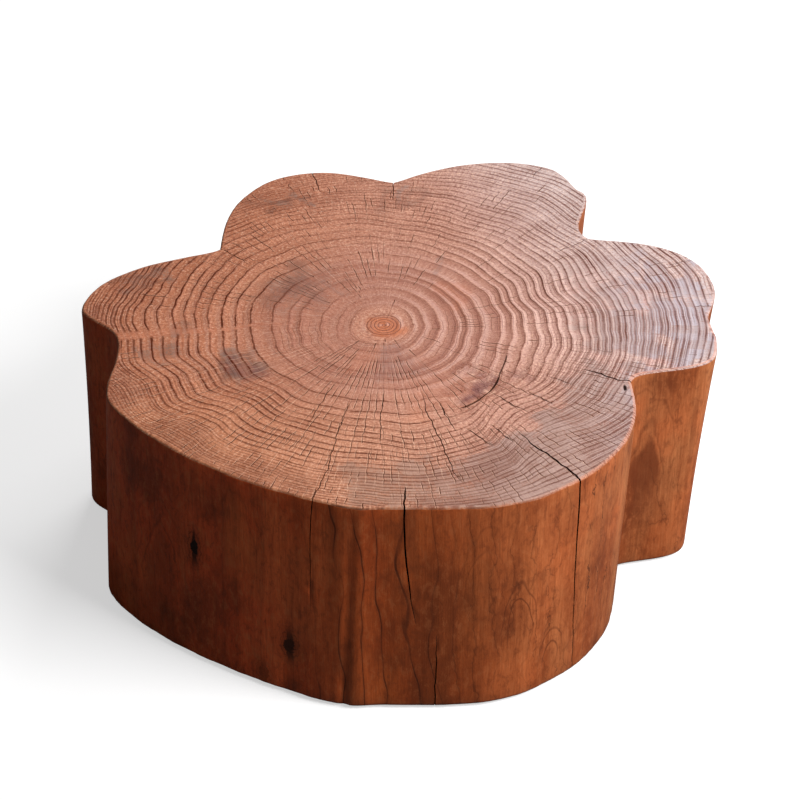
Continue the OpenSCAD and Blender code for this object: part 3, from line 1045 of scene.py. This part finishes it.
def opened(f, top, off_line, chance, where):
    """The dark gap of a check, and the pale lip beside it, a painted highlight where the edge faces the
    light.
    """
    dark = f.ease(f.math("ABSOLUTE", off_line), 0.9, 0.3)
    pale = f.ease(f.math("ABSOLUTE", f.plus(off_line, 0.9)), 0.7, 0.1)
    dark = f.times(dark, f.math("LESS_THAN", chance, top.checked), where)
    pale = f.times(pale, f.math("LESS_THAN", chance, f.most(top.checked, top.rays)), where)
    return dark, pale


def open_checks(f, top):
    """Fine checks with their pale lips of painted highlight, fewer to a radian near the pith than further
    out.
    """
    near_dark, near_lit_lip = opened(f, top, *checks(f, top, 20, 3.0), f.ease(top.reach, 0.33, 0.27))
    far_dark, far_lit_lip = opened(f, top, *checks(f, top, 34, 8.0), f.ease(top.reach, 0.25, 0.31))
    patchy = f.ease(f.noise(top.place, 28, 2), 0.36, 0.6, 0.15, 1.0)
    top.check = f.times(f.most(near_dark, far_dark), patchy)
    top.lip = f.times(f.most(near_lit_lip, far_lit_lip), patchy, f.linear(top.rays, 0.6, 0.4))


def colour_wood(f, top):
    """The oiled wood: banded, paler and greyer to the right (partly weathered wood, partly painted sheen),
    mottled and fibrous, with the knot's curls.
    """
    stretched = f.vector("MULTIPLY", top.flat, (0, 4, 4))
    banding = f.noise(f.vector("MULTIPLY_ADD", f.join(top.growth, 0, 0), (0.9, 0, 0), stretched), 1.0, 2)
    f.colour = f.mix(f.ease(banding, 0.3, 0.7), (178, 108, 74), (208, 138, 104))
    f.tint(f.ease(top.broad, 0.3, 0.72, 0.0, 0.5), (194, 118, 80))
    # Paler to the right: partly weathered wood, partly painted sheen.
    f.tint(f.times(top.bleach, 0.66), (196, 156, 142))
    x, y, _ = f.parts(top.place)
    # Palest on the far right lobes: partly grey weathered wood, partly painted sheen of reflected light.
    far = f.ease(f.plus(x, f.times(y, 0.35)), 0.12, 0.42)
    f.tint(f.times(far, 0.65), (209, 207, 209))
    f.tint(f.ease(top.mottle, 0.5, 0.32, 0.0, 0.66), (120, 62, 44))
    f.tint(f.ease(top.mottle, 0.5, 0.68, 0.0, 0.58), (234, 188, 160))
    f.tint(f.ease(top.fibre, 0.25, 0.75, 0.45, 0.0), (118, 62, 42))
    f.tint(f.ease(top.speck, 0.35, 0.6, 0.4, 0.0), (92, 46, 30))
    f.tint(f.times(top.warmth, 0.7), (182, 98, 54))
    f.tint(f.times(top.rosy, 0.4), (206, 124, 110))
    f.tint(f.times(f.ease(top.curl, 0.54, 0.42), top.knotty, 0.6), (150, 84, 62))
    f.tint(f.times(f.ease(top.curl, 0.52, 0.62), top.knotty, 0.55), (240, 188, 160))
    f.tint(f.times(top.strand, top.knotty, 0.55), (112, 56, 40))


def stain_wood(f, top):
    """Grey weathering with a ragged edge, the dark patches, partly stain and partly painted shadow, and the
    purple and furrowed patches.
    """
    between_rays = f.math("FLOOR", f.total((top.turn, 22), (f.noise(top.place, 12, 1), 2.0)))
    cell = f.random(between_rays, f.math("FLOOR", f.times(top.exact, 0.8)), 7.0)
    ragged = f.total((f.minus(cell, 0.5), 0.4), (f.minus(top.mottle, 0.5), 1.8))
    ragged = f.times(ragged, f.least(f.times(top.weather, 4.0), 1.0))
    grey = f.mix(top.bleach, (128, 98, 84), (152, 126, 118))
    grey = f.mix(f.ease(top.x, 0.26, 0.42), grey, (152, 146, 156))
    grey = f.mix(f.ease(cell, 0.2, 0.9, 0.45, 0.0), grey, (118, 88, 76))
    f.tint(f.times(f.ease(f.plus(top.weather, ragged), 0.2, 0.9), 0.75), grey)
    blotchy = f.ease(f.plus(top.mottle, f.times(cell, 0.2)), 0.4, 0.75, 0.4, 1.0)
    # Dark patches: stain, and at 141 and 204 degrees partly painted shadow.
    f.tint(f.times(top.dark, blotchy, 0.88), (84, 56, 46))
    f.tint(f.times(top.purple, f.ease(top.curl, 0.35, 0.6, 1.0, 0.7)), (98, 50, 50))
    f.tint(f.times(top.furrow, 0.3), (172, 102, 74))


def shade_rings(f, top):
    """Strokes near the pith, painted light on each ring's inner side and painted shade on its outer one,
    warmer wood in front, darker near the pith, and a painted highlight on the front right rim.
    """
    f.tint(f.times(f.ease(top.stroke, 0.57, 0.68), top.near, 0.42), (234, 192, 168))
    f.tint(f.times(f.ease(top.stroke, 0.44, 0.33), top.near, 0.5), (124, 64, 48))
    painted_relief = f.times(f.ease(top.ridges, 0.8, 1.3), f.ease(top.reach, 0.22, 0.37, 1.0, 0.45))
    painted_relief = f.most(painted_relief, f.times(top.near, f.ease(top.x, -0.06, 0.1, 0.25, 0.8)))
    lit = f.times(f.ease(top.phase, 0.06, 0.17), f.ease(top.phase, 0.52, 0.28), painted_relief,
                  f.ease(top.broad, 0.35, 0.6, 0.45, 1.0))
    shade = f.times(f.ease(top.phase, 0.5, 0.88), painted_relief)
    # Painted highlight where each ring rises and painted shade where it falls.
    f.tint(f.times(lit, 0.28), (238, 206, 194))
    f.tint(f.times(shade, f.linear(top.near, 0.45, 0.28)), (134, 76, 56))
    front = f.times(f.ease(top.y, -0.1, -0.28), f.ease(top.x, 0.18, -0.02))
    f.tint(f.times(front, 0.14), (238, 172, 124))
    f.tint(f.times(top.near, 0.36), (142, 86, 70))
    # Painted highlight along the front right rim, where the rounded edge faces the light.
    rim = f.times(top.rim, f.ease(top.x, 0.12, 0.3), f.ease(top.y, 0.06, -0.02))
    f.tint(f.times(rim, 0.32), (198, 116, 74))


def draw_lines(f, top):
    """Ring lines with a band of painted shade, checks and their lips of painted highlight, the core's small
    rings, the pit, and the cracks painted near-black inside as shade.
    """
    f.tint(f.times(top.fine_line, f.ease(top.bleach, 0.3, 0.7, 0.5, 0.7)), (112, 58, 40))
    f.tint(f.times(top.second, top.lined, 0.75), (100, 52, 38))
    # Soft brown band either side of each ring line: painted shade, stronger where the rings stand out.
    f.tint(f.times(top.bank, f.ease(top.ridges, 0.5, 0.9, 0.12, 0.28)), (122, 62, 42))
    f.tint(f.times(top.line, 0.95), (76, 31, 18))
    # Pale lips beside the checks: painted highlight, strongest in the rayed patches.
    f.tint(f.times(top.lip, 0.42), (236, 192, 162))
    f.tint(f.times(top.check, 0.92), (70, 31, 21))
    core_ring = f.fold(f.total((top.reach, 190), (f.noise(top.place, 90, 2), 0.9)))
    core_line = f.times(f.ease(core_ring, 0.2, 0.06), f.ease(top.reach, 0.03, 0.024))
    f.tint(f.times(core_line, 0.8), (96, 40, 22))
    # The pit: dented, and painted near-black as the shade in it.
    from_pit = f.vector("MULTIPLY", f.vector("SUBTRACT", top.flat, PIT), (380, 120, 0))
    ragged = f.times(f.noise(top.place, 300, 2), 0.7)
    top.rot = f.ease(f.plus(f.vector("LENGTH", from_pit), ragged), 1.5, 0.8)
    f.tint(top.rot, (30, 15, 11))
    # Insides of the cracks painted near-black: painted shade.
    f.tint(f.times(f.ease(top.gap, 0.02, 0.12), f.ease(top.gap, 0.5, 0.9, 0.72, 1.0)), (34, 15, 10))


def oiled_top():
    """Brushed end grain: dark ring lines, fine checks from the pith, weathered and stained patches."""
    f = Finish("oiled_top")
    top = read_top(f)
    for step in (scatter, follow_rings, open_checks, colour_wood, stain_wood, shade_rings, draw_lines):
        step(f, top)
    dull = f.most(top.line, top.check, top.rot, f.ease(top.gap, 0.0, 0.2))
    gloss = f.times(f.linear(top.bleach, 0.14, 0.14), f.linear(dull, -0.95, 1.0))
    f.feed(f.shader.inputs["Specular IOR Level"], gloss)
    roughness = f.plus(f.ease(top.fibre, 0.2, 0.8, 0.52, 0.42), f.times(top.line, 0.2),
                       f.times(top.weather, 0.06))
    height = f.total((top.fibre, 0.4), (top.speck, 0.3), (top.mottle, 0.5), (top.fine_line, -0.3),
                     (top.line, -0.8), (top.check, -0.6), (top.lip, 0.15), (top.curl, top.knotty, 1.8),
                     (top.strand, top.knotty, -0.5), (top.rot, -2.0))
    return f.finish(roughness, height, 0.0007, 0.8)


# Knots in the wall: direction, share of the height, half width and half height in millimetres, darkness.
KNOTS = (
    (230.5, 0.57, 7, 17, 1.0),
    (252.9, 0.25, 9, 15, 0.9),
    (247.4, 0.07, 8, 12, 0.45),
    (120.0, 0.45, 8, 14, 0.7),
)

# Figures in the wall, where a ring comes close to the surface: direction, share of the height, half
# width and half height in millimetres, darkness inside, and how far its ring lines show around it.
FIGURES = (
    (343.9, 0.46, 21, 88, 0.8, 0.4),
    (348.4, 0.60, 6, 80, 0.35, 0.0),
    (296.5, 0.34, 14, 50, 0.1, 0.8),
    (304.0, 0.12, 12, 40, 0.08, 0.7),
    (289.0, 0.56, 18, 70, 0.2, 0.35),
    (222.0, 0.30, 26, 90, 0.35, 0.35),
    (241.0, 0.62, 24, 80, -0.35, 0.25),
    (188.0, 0.40, 24, 90, 0.3, 0.4),
    (120.0, 0.38, 15, 60, 0.3, 0.6),
    (70.0, 0.45, 20, 90, 0.4, 0.5),
    (20.0, 0.35, 22, 100, 0.4, 0.5),
)


def on_wall(direction, share):
    """A place on the wall, in metres, from its direction and its share of the height."""
    z = SOLE + HEIGHT * share
    fall = 1 - share
    reach, extra = outline(np.array([direction], float))
    radius = float(reach[0] + extra[0] * (1 - (1 - fall) ** 2))
    turn = math.radians(direction)
    x = PITH[0] + LEAN * fall + radius * math.cos(turn)
    return (x * MM, (PITH[1] + radius * math.sin(turn)) * MM, z * MM)


def away_from(f, place, direction, share, half_width, half_height):
    """Way from a place on the wall, in half widths and half heights of what sits there."""
    size = (1 / (half_width * MM), 1 / (half_width * MM), 1 / (half_height * MM))
    return f.vector("MULTIPLY", f.vector("SUBTRACT", place, on_wall(direction, share)), size)


def read_wall(f):
    """Places on the wall, and the direction round the middle of the trunk."""
    place = f.place()
    x, y, z = f.parts(place)
    middle = (PITH[0] + LEAN / 2) * MM
    turn = f.math("ARCTAN2", f.minus(y, PITH[1] * MM), f.minus(x, middle))
    return SimpleNamespace(place=place, x=x, y=y, z=z, turn=turn)


def wavy_lines(f, wall):
    """Dark lines down the wall. They waver more to the right."""
    sway = f.noise(wall.place, (16, 16, 6), 2)
    wiggle = f.times(f.noise(wall.place, (34, 34, 16), 3, 0.6), f.ease(wall.x, 0.02, 0.2), 2.4)
    near_line = f.fold(f.plus(f.total((wall.turn, 12.5), (sway, 1.9), (wall.z, 2.0)), wiggle))
    patchy = f.ease(f.noise(wall.place, (24, 24, 7), 2), 0.3, 0.6, 0.25, 1.0)
    both = f.plus(f.ease(near_line, 0.05, 0.012, 0.0, 0.65), f.ease(near_line, 0.2, 0.0, 0.0, 0.35))
    wall.line = f.times(both, f.attribute("lined"), patchy)


def wall_knots(f, wall):
    """Knots: a ragged core with a split through it and rings round it, in a soft halo."""
    wall.stain = 0.0
    wall.halo = 0.0
    for *spot, dark in KNOTS:
        away = away_from(f, wall.place, *spot)
        distance = f.vector("LENGTH", away)
        rough = f.plus(distance, f.times(f.noise(wall.place, 130, 3, 0.65), 1.5))
        core = f.ease(rough, 1.85, 1.55, 0.0, dark)
        ring = f.times(f.ease(f.fold(f.times(rough, 1.3)), 0.2, 0.04), f.ease(rough, 4.0, 1.6))
        sideways = f.vector("LENGTH", f.vector("MULTIPLY", away, (1, 1, 0)))
        beside = f.plus(sideways, f.times(f.noise(wall.place, 90, 2), 0.9))
        tall = f.math("ABSOLUTE", f.parts(away)[2])
        split = f.times(f.ease(beside, 1.15, 0.9), f.ease(tall, 2.6, 0.9, 0.0, dark))
        wall.stain = f.most(wall.stain, core, f.times(split, 0.85), f.times(ring, 0.55 * dark))
        wall.halo = f.most(wall.halo, f.ease(distance, 3.4, 0.8, 0.0, dark))


def wall_figures(f, wall):
    """Tall figures, darker or paler inside, with the lines of their rings around them."""
    curve = f.times(f.minus(f.noise(wall.place, (22, 22, 12), 2), 0.5), 1.6)
    wall.figure = 0.0
    wall.paler = 0.0
    wall.figure_line = 0.0
    for *spot, dark, lines in FIGURES:
        away = away_from(f, wall.place, *spot)
        distance = f.plus(f.vector("LENGTH", away), curve)
        height = f.parts(away)[2]
        upper = f.ease(height, -1.1, 0.25)
        if dark > 0:
            wall.figure = f.most(wall.figure, f.times(f.ease(distance, 1.1, 0.82, 0.0, dark), upper))
        else:
            wall.paler = f.most(wall.paler, f.times(f.ease(distance, 1.6, 0.6, 0.0, -dark), upper))
        near = f.fold(f.times(distance, 1.7))
        shown = f.times(f.ease(near, 0.16, 0.02), f.ease(distance, 2.9, 1.2, 0.0, lines),
                        f.ease(distance, 0.8, 1.0), f.ease(height, -0.9, 0.5))
        wall.figure_line = f.most(wall.figure_line, shown)


def crackle(f, wall):
    """Fine dark crackle where the wall has it."""
    bent = f.times(f.noise(wall.place, (42, 42, 17), 4, 0.6), 2.1)
    crazing = f.fold(f.plus(f.times(wall.turn, 19), bent))
    shown = f.ease(f.noise(wall.place, (26, 26, 9), 2), 0.44, 0.52)
    wall.crackle = f.times(f.ease(crazing, 0.04, 0.015), f.attribute("checked"), shown)


def colour_outside(f, wall):
    """The outer wood: red to the left, duller to the right, with soft bands, clouds and pebbling."""
    broad = f.ease(f.noise(wall.place, (14, 14, 3.2), 3, 0.6), 0.3, 0.7)
    f.colour = f.mix(broad, (166, 70, 28), (196, 94, 42))
    reddish = f.times(f.ease(wall.x, 0.0, -0.25), f.ease(wall.y, 0.15, -0.05))
    f.tint(reddish, f.mix(broad, (204, 76, 33), (226, 94, 47)))
    f.tint(f.ease(wall.x, 0.0, 0.32), f.mix(broad, (160, 84, 44), (190, 118, 72)))
    f.tint(f.ease(f.noise(wall.place, (30, 30, 1.6), 2, 0.5), 0.35, 0.7, 0.0, 0.4), (126, 52, 20))
    moved = f.shifted(wall.place, 60, 0.012)
    cloud = f.noise(moved, (9, 9, 5), 3, 0.6)
    f.tint(f.ease(cloud, 0.5, 0.66, 0.0, 0.55), (88, 36, 16))
    f.tint(f.ease(cloud, 0.5, 0.34, 0.0, 0.4), (208, 108, 58))
    wall.pebble = f.noise(moved, (110, 110, 48), 4, 0.7)
    f.tint(f.ease(wall.pebble, 0.5, 0.66, 0.0, 0.4), (98, 46, 24))
    f.tint(f.ease(wall.pebble, 0.5, 0.34, 0.0, 0.3), (206, 124, 76))


def draw_grain(f, wall):
    """Figures, tall grain, fibres and streaks, darker patches that are partly painted shade, then the dark
    lines, crackle, knots, and the cracks painted near-black inside as shade.
    """
    f.tint(wall.paler, (206, 112, 58))
    f.tint(wall.figure, (112, 56, 30))
    f.tint(f.times(wall.figure_line, 0.85), (84, 38, 20))
    wall.grain = f.noise(wall.place, (330, 330, 17), 4, 0.65)
    plain = f.ease(wall.x, -0.25, 0.1, 0.55, 1.0)
    f.tint(f.times(f.ease(wall.grain, 0.35, 0.68, 0.3, 0.0), plain), (110, 46, 16))
    wall.fibre = f.noise(wall.place, (1300, 1300, 45), 3, 0.6)
    f.tint(f.ease(wall.fibre, 0.3, 0.7, 0.18, 0.0), (98, 44, 20))
    streak = f.ease(f.noise(wall.place, (190, 190, 15), 2), 0.6, 0.72)
    f.tint(f.times(streak, 0.3), (96, 40, 18))
    # Darker patches: partly darker wood, partly painted shade.
    f.tint(f.times(f.attribute("weather"), 0.6), (104, 50, 24))
    f.tint(f.times(wall.halo, 0.4), (92, 38, 16))
    f.tint(f.times(wall.line, 0.85), (66, 27, 12))
    f.tint(f.times(wall.crackle, 0.75), (66, 30, 16))
    f.tint(wall.stain, (36, 16, 9))
    # Insides of the cracks painted near-black: painted shade.
    f.tint(f.ease(f.attribute("gap"), 0.02, 0.1), (24, 11, 7))


def debarked_wall():
    """Smooth outer wood: fine tall grain, soft bands, dark wavy lines at the front, knots and crackle."""
    f = Finish("debarked_wall")
    wall = read_wall(f)
    for step in (wavy_lines, wall_knots, wall_figures, crackle, colour_outside, draw_grain):
        step(f, wall)
    roughness = f.plus(f.ease(wall.grain, 0.3, 0.7, 0.56, 0.44), f.times(wall.line, 0.12),
                       f.times(wall.stain, 0.2))
    height = f.total((wall.grain, 0.6), (wall.fibre, 0.25), (wall.pebble, 0.8), (wall.line, -0.5),
                     (wall.stain, -0.5), (wall.crackle, -0.6))
    f.shader.inputs["Specular IOR Level"].default_value = 0.16
    return f.finish(roughness, height, 0.0006, 0.7)


def sawn_underside():
    """Plain sawn end grain under the log: faint rings, saw marks and dry, lighter wood."""
    f = Finish("sawn_underside")
    place = f.place()
    centre = ((PITH[0] + LEAN) * MM, PITH[1] * MM, 0)
    flat = f.vector("MULTIPLY", f.vector("SUBTRACT", place, centre), (1, 1, 0))
    wander = f.noise(f.vector("NORMALIZE", flat), 2.6, 3)
    rings = f.total((f.vector("LENGTH", flat), 88), (wander, 6.0), (f.noise(place, 30, 2), 0.4))
    line = f.ease(f.fold(rings), 0.16, 0.02)
    saw = f.noise(place, (6, 260, 6), 2)
    speck = f.noise(place, 700, 3, 0.7)
    f.colour = f.mix(f.ease(f.noise(place, 8, 3), 0.3, 0.7), (150, 98, 70), (178, 126, 94))
    f.tint(f.times(line, 0.5), (104, 60, 42))
    f.tint(f.ease(saw, 0.4, 0.7, 0.0, 0.25), (200, 158, 126))
    f.tint(f.ease(speck, 0.35, 0.6, 0.3, 0.0), (90, 54, 38))
    height = f.total((saw, 0.8), (speck, 0.4), (line, -0.3))
    return f.finish(f.ease(speck, 0.3, 0.7, 0.8, 0.65), height, 0.0008, 0.9)


def wool_felt():
    """Grey brown felt: matted, with pale hairs and a soft sheen."""
    f = Finish("wool_felt")
    place = f.place()
    matted = f.noise(place, 420, 4, 0.7, 1.5)
    hair = f.noise(place, (1900, 1900, 500), 3, 0.6, 2.0)
    f.colour = f.mix(f.ease(matted, 0.3, 0.7), (78, 66, 56), (112, 98, 84))
    f.tint(f.ease(hair, 0.55, 0.75, 0.0, 0.5), (158, 146, 130))
    f.shader.inputs["Sheen Weight"].default_value = 0.35
    f.shader.inputs["Sheen Roughness"].default_value = 0.6
    return f.finish(f.ease(matted, 0.3, 0.7, 0.98, 0.88), f.total((matted, 0.6), (hair, 0.5)), 0.0007, 1.0)


def dark_nylon():
    """Turned dark nylon, finely pitted and scuffed."""
    f = Finish("dark_nylon")
    place = f.place()
    pitted = f.noise(place, 1500, 3, 0.6)
    scuffed = f.noise(place, (90, 420, 300), 3, 0.6)
    f.colour = f.mix(f.ease(scuffed, 0.5, 0.75, 0.0, 0.6), (38, 35, 33), (70, 65, 60))
    f.tint(f.ease(pitted, 0.3, 0.6, 0.3, 0.0), (20, 18, 17))
    roughness = f.plus(f.ease(scuffed, 0.4, 0.8, 0.42, 0.62), f.times(pitted, 0.08))
    return f.finish(roughness, f.total((pitted, 0.5), (scuffed, 0.3)), 0.0002, 0.7)


def zinc_plate():
    """Bright zinc on the screws, dulled in places, with fine marks."""
    f = Finish("zinc_plate")
    place = f.place()
    marks = f.noise(place, (1400, 1400, 160), 3, 0.6)
    dull = f.noise(place, 260, 3, 0.6)
    f.colour = f.mix(f.ease(dull, 0.3, 0.7), (168, 170, 172), (205, 205, 200))
    f.tint(f.ease(marks, 0.6, 0.8, 0.0, 0.3), (120, 118, 112))
    f.shader.inputs["Metallic"].default_value = 1.0
    roughness = f.plus(f.ease(dull, 0.3, 0.7, 0.28, 0.42), f.times(marks, 0.1))
    return f.finish(roughness, marks, 0.00008, 0.6)


def model_felt(name, middle, seed):
    """A felt ring: cut from sheet felt, its edges softened and its faces slightly uneven."""
    bpy.ops.object.select_all(action="DESELECT")
    circle(72, FELT_R - FELT_SMALLER, middle, FELT_THINNER)
    felt = bpy.context.object
    felt.name = name
    felt.data.name = name
    bpy.ops.object.transform_apply(location=True, rotation=True, scale=True)
    bpy.ops.object.mode_set(mode="EDIT")
    circle(72, FELT_HOLE_R + FELT_SMALLER, middle, FELT_THINNER)
    bpy.ops.mesh.select_all(action="SELECT")
    bpy.ops.mesh.bridge_edge_loops(number_cuts=6, interpolation="LINEAR")
    bpy.ops.mesh.select_mode(type="FACE")
    bpy.ops.mesh.select_all(action="SELECT")
    thickness = FELT_T - 2 * FELT_THINNER
    bpy.ops.mesh.extrude_region_move(TRANSFORM_OT_translate={"value": (0, 0, thickness * MM)})
    bpy.ops.mesh.select_all(action="SELECT")
    bpy.ops.mesh.normals_make_consistent(inside=False)
    bpy.ops.object.mode_set(mode="OBJECT")
    soften = felt.modifiers.new("soft_edges", "BEVEL")
    soften.width = 1.1 * MM
    soften.segments = 3
    soften.limit_method = "ANGLE"
    bpy.ops.object.modifier_apply(modifier=soften.name)
    spots = places(felt.data.vertices)
    uneven = drift(spots[:, 0] + spots[:, 2], spots[:, 1], 4, seed)
    away = spots - (*middle, FELT_T / 2)
    spots += away * (0.008, 0.008, 0.03) * uneven[:, None]
    felt.data.vertices.foreach_set("co", (spots * MM).ravel())
    bpy.ops.object.shade_smooth_by_angle(angle=math.radians(60))
    return felt


def paint_node(name, material):
    """Give every slot of a node of the part the same material."""
    for slot in bpy.data.objects[name].material_slots:
        slot.material = material


def add_log():
    """The log piece, in place of the solid log."""
    log = model_log()
    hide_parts("log_section")
    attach(log, "root")


def add_glides():
    """The felt rings in place of the solid pads, and the finishes of the cups and the screws."""
    nylon = dark_nylon()
    felt_finish = wool_felt()
    for number, middle in enumerate(GLIDES, 1):
        felt = model_felt(f"felt_ring_{number}", middle, 70 + number)
        felt.data.materials.append(felt_finish)
        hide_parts(f"felt_pad_{number}")
        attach(felt, "root")
        paint_node(f"glide_cup_{number}", nylon)
    paint_node("glide_screws", zinc_plate())


# The photo's view, in metres and degrees.
CAMERA_AIM = Vector((0.0055013, -0.18798, TOP * MM))
CAMERA_DISTANCE = 3.24
LOOK_DOWN = 37.5


def add_camera():
    """The photo's camera: a long lens in front of the table that looks down on it."""
    data = bpy.data.cameras.new("camera")
    data.lens = 108
    data.sensor_width = 36
    data.clip_end = 50
    camera = bpy.data.objects.new("camera", data)
    bpy.context.collection.objects.link(camera)
    down = math.radians(LOOK_DOWN)
    back = Vector((0, -math.cos(down), math.sin(down)))
    camera.location = CAMERA_AIM + back * CAMERA_DISTANCE
    camera.rotation_euler = (-back).to_track_quat("-Z", "Y").to_euler()
    bpy.context.scene.camera = camera


def add_lamp(name, azimuth, elevation, distance, size, power):
    """A soft lamp that looks at the table's middle from some direction."""
    data = bpy.data.lights.new(name, "AREA")
    data.shape = "RECTANGLE"
    data.size, data.size_y = size
    data.energy = power
    lamp = bpy.data.objects.new(name, data)
    bpy.context.collection.objects.link(lamp)
    side, up = math.radians(azimuth), math.radians(elevation)
    middle = Vector((0, 0, 0.25))
    way = Vector((math.cos(side) * math.cos(up), math.sin(side) * math.cos(up), math.sin(up)))
    lamp.location = middle + way * distance
    lamp.rotation_euler = (-way).to_track_quat("-Z", "Y").to_euler()
    return lamp


def pale_floor():
    """Matt floor that is paler, and glows a little, for the camera only."""
    material = bpy.data.materials.new("pale_floor")
    f = Nodes(material, "OutputMaterial")
    seen = f.node("LightPath").outputs["Is Camera Ray"]
    pale = f.node("Mix", seen, data_type="RGBA")
    pale.inputs[6].default_value = (0.16, 0.155, 0.15, 1)
    pale.inputs[7].default_value = (0.55, 0.55, 0.55, 1)
    matt = f.node("BsdfDiffuse", pale.outputs[2])
    glow = f.node("Emission")
    f.feed(glow.inputs["Strength"], f.times(seen, 0.55))
    both = f.node("AddShader", matt.outputs[0], glow.outputs[0])
    f.feed(f.output.inputs["Surface"], both.outputs[0])
    return material


def white_surroundings():
    """Surroundings that the camera sees white and that add little light."""
    world = bpy.data.worlds.new("surroundings")
    bpy.context.scene.world = world
    w = Nodes(world, "OutputWorld")
    seen = w.node("LightPath").outputs["Is Camera Ray"]
    fill = w.node("Background", (1, 1, 1, 1), 0.11)
    white = w.node("Background", (1, 1, 1, 1), 1.0)
    choose = w.node("MixShader", seen, fill.outputs[0], white.outputs[0])
    w.feed(w.output.inputs["Surface"], choose.outputs[0])


def add_room():
    """Pale floor and white surroundings."""
    bpy.ops.object.select_all(action="DESELECT")
    bpy.ops.mesh.primitive_plane_add(size=16, location=(0, 0, 0))
    floor = bpy.context.object
    floor.name = "floor"
    floor.data.materials.append(pale_floor())
    white_surroundings()
    return floor


add_camera()
key = add_lamp("key", -30, 40, 3.2, (1.5, 1.5), 150)
sheen = add_lamp("sheen", 66, 40, 3.4, (2.2, 1.4), 85)
floor = add_room()
bpy.context.scene.view_settings.view_transform = "Standard"

add_log()
add_glides()
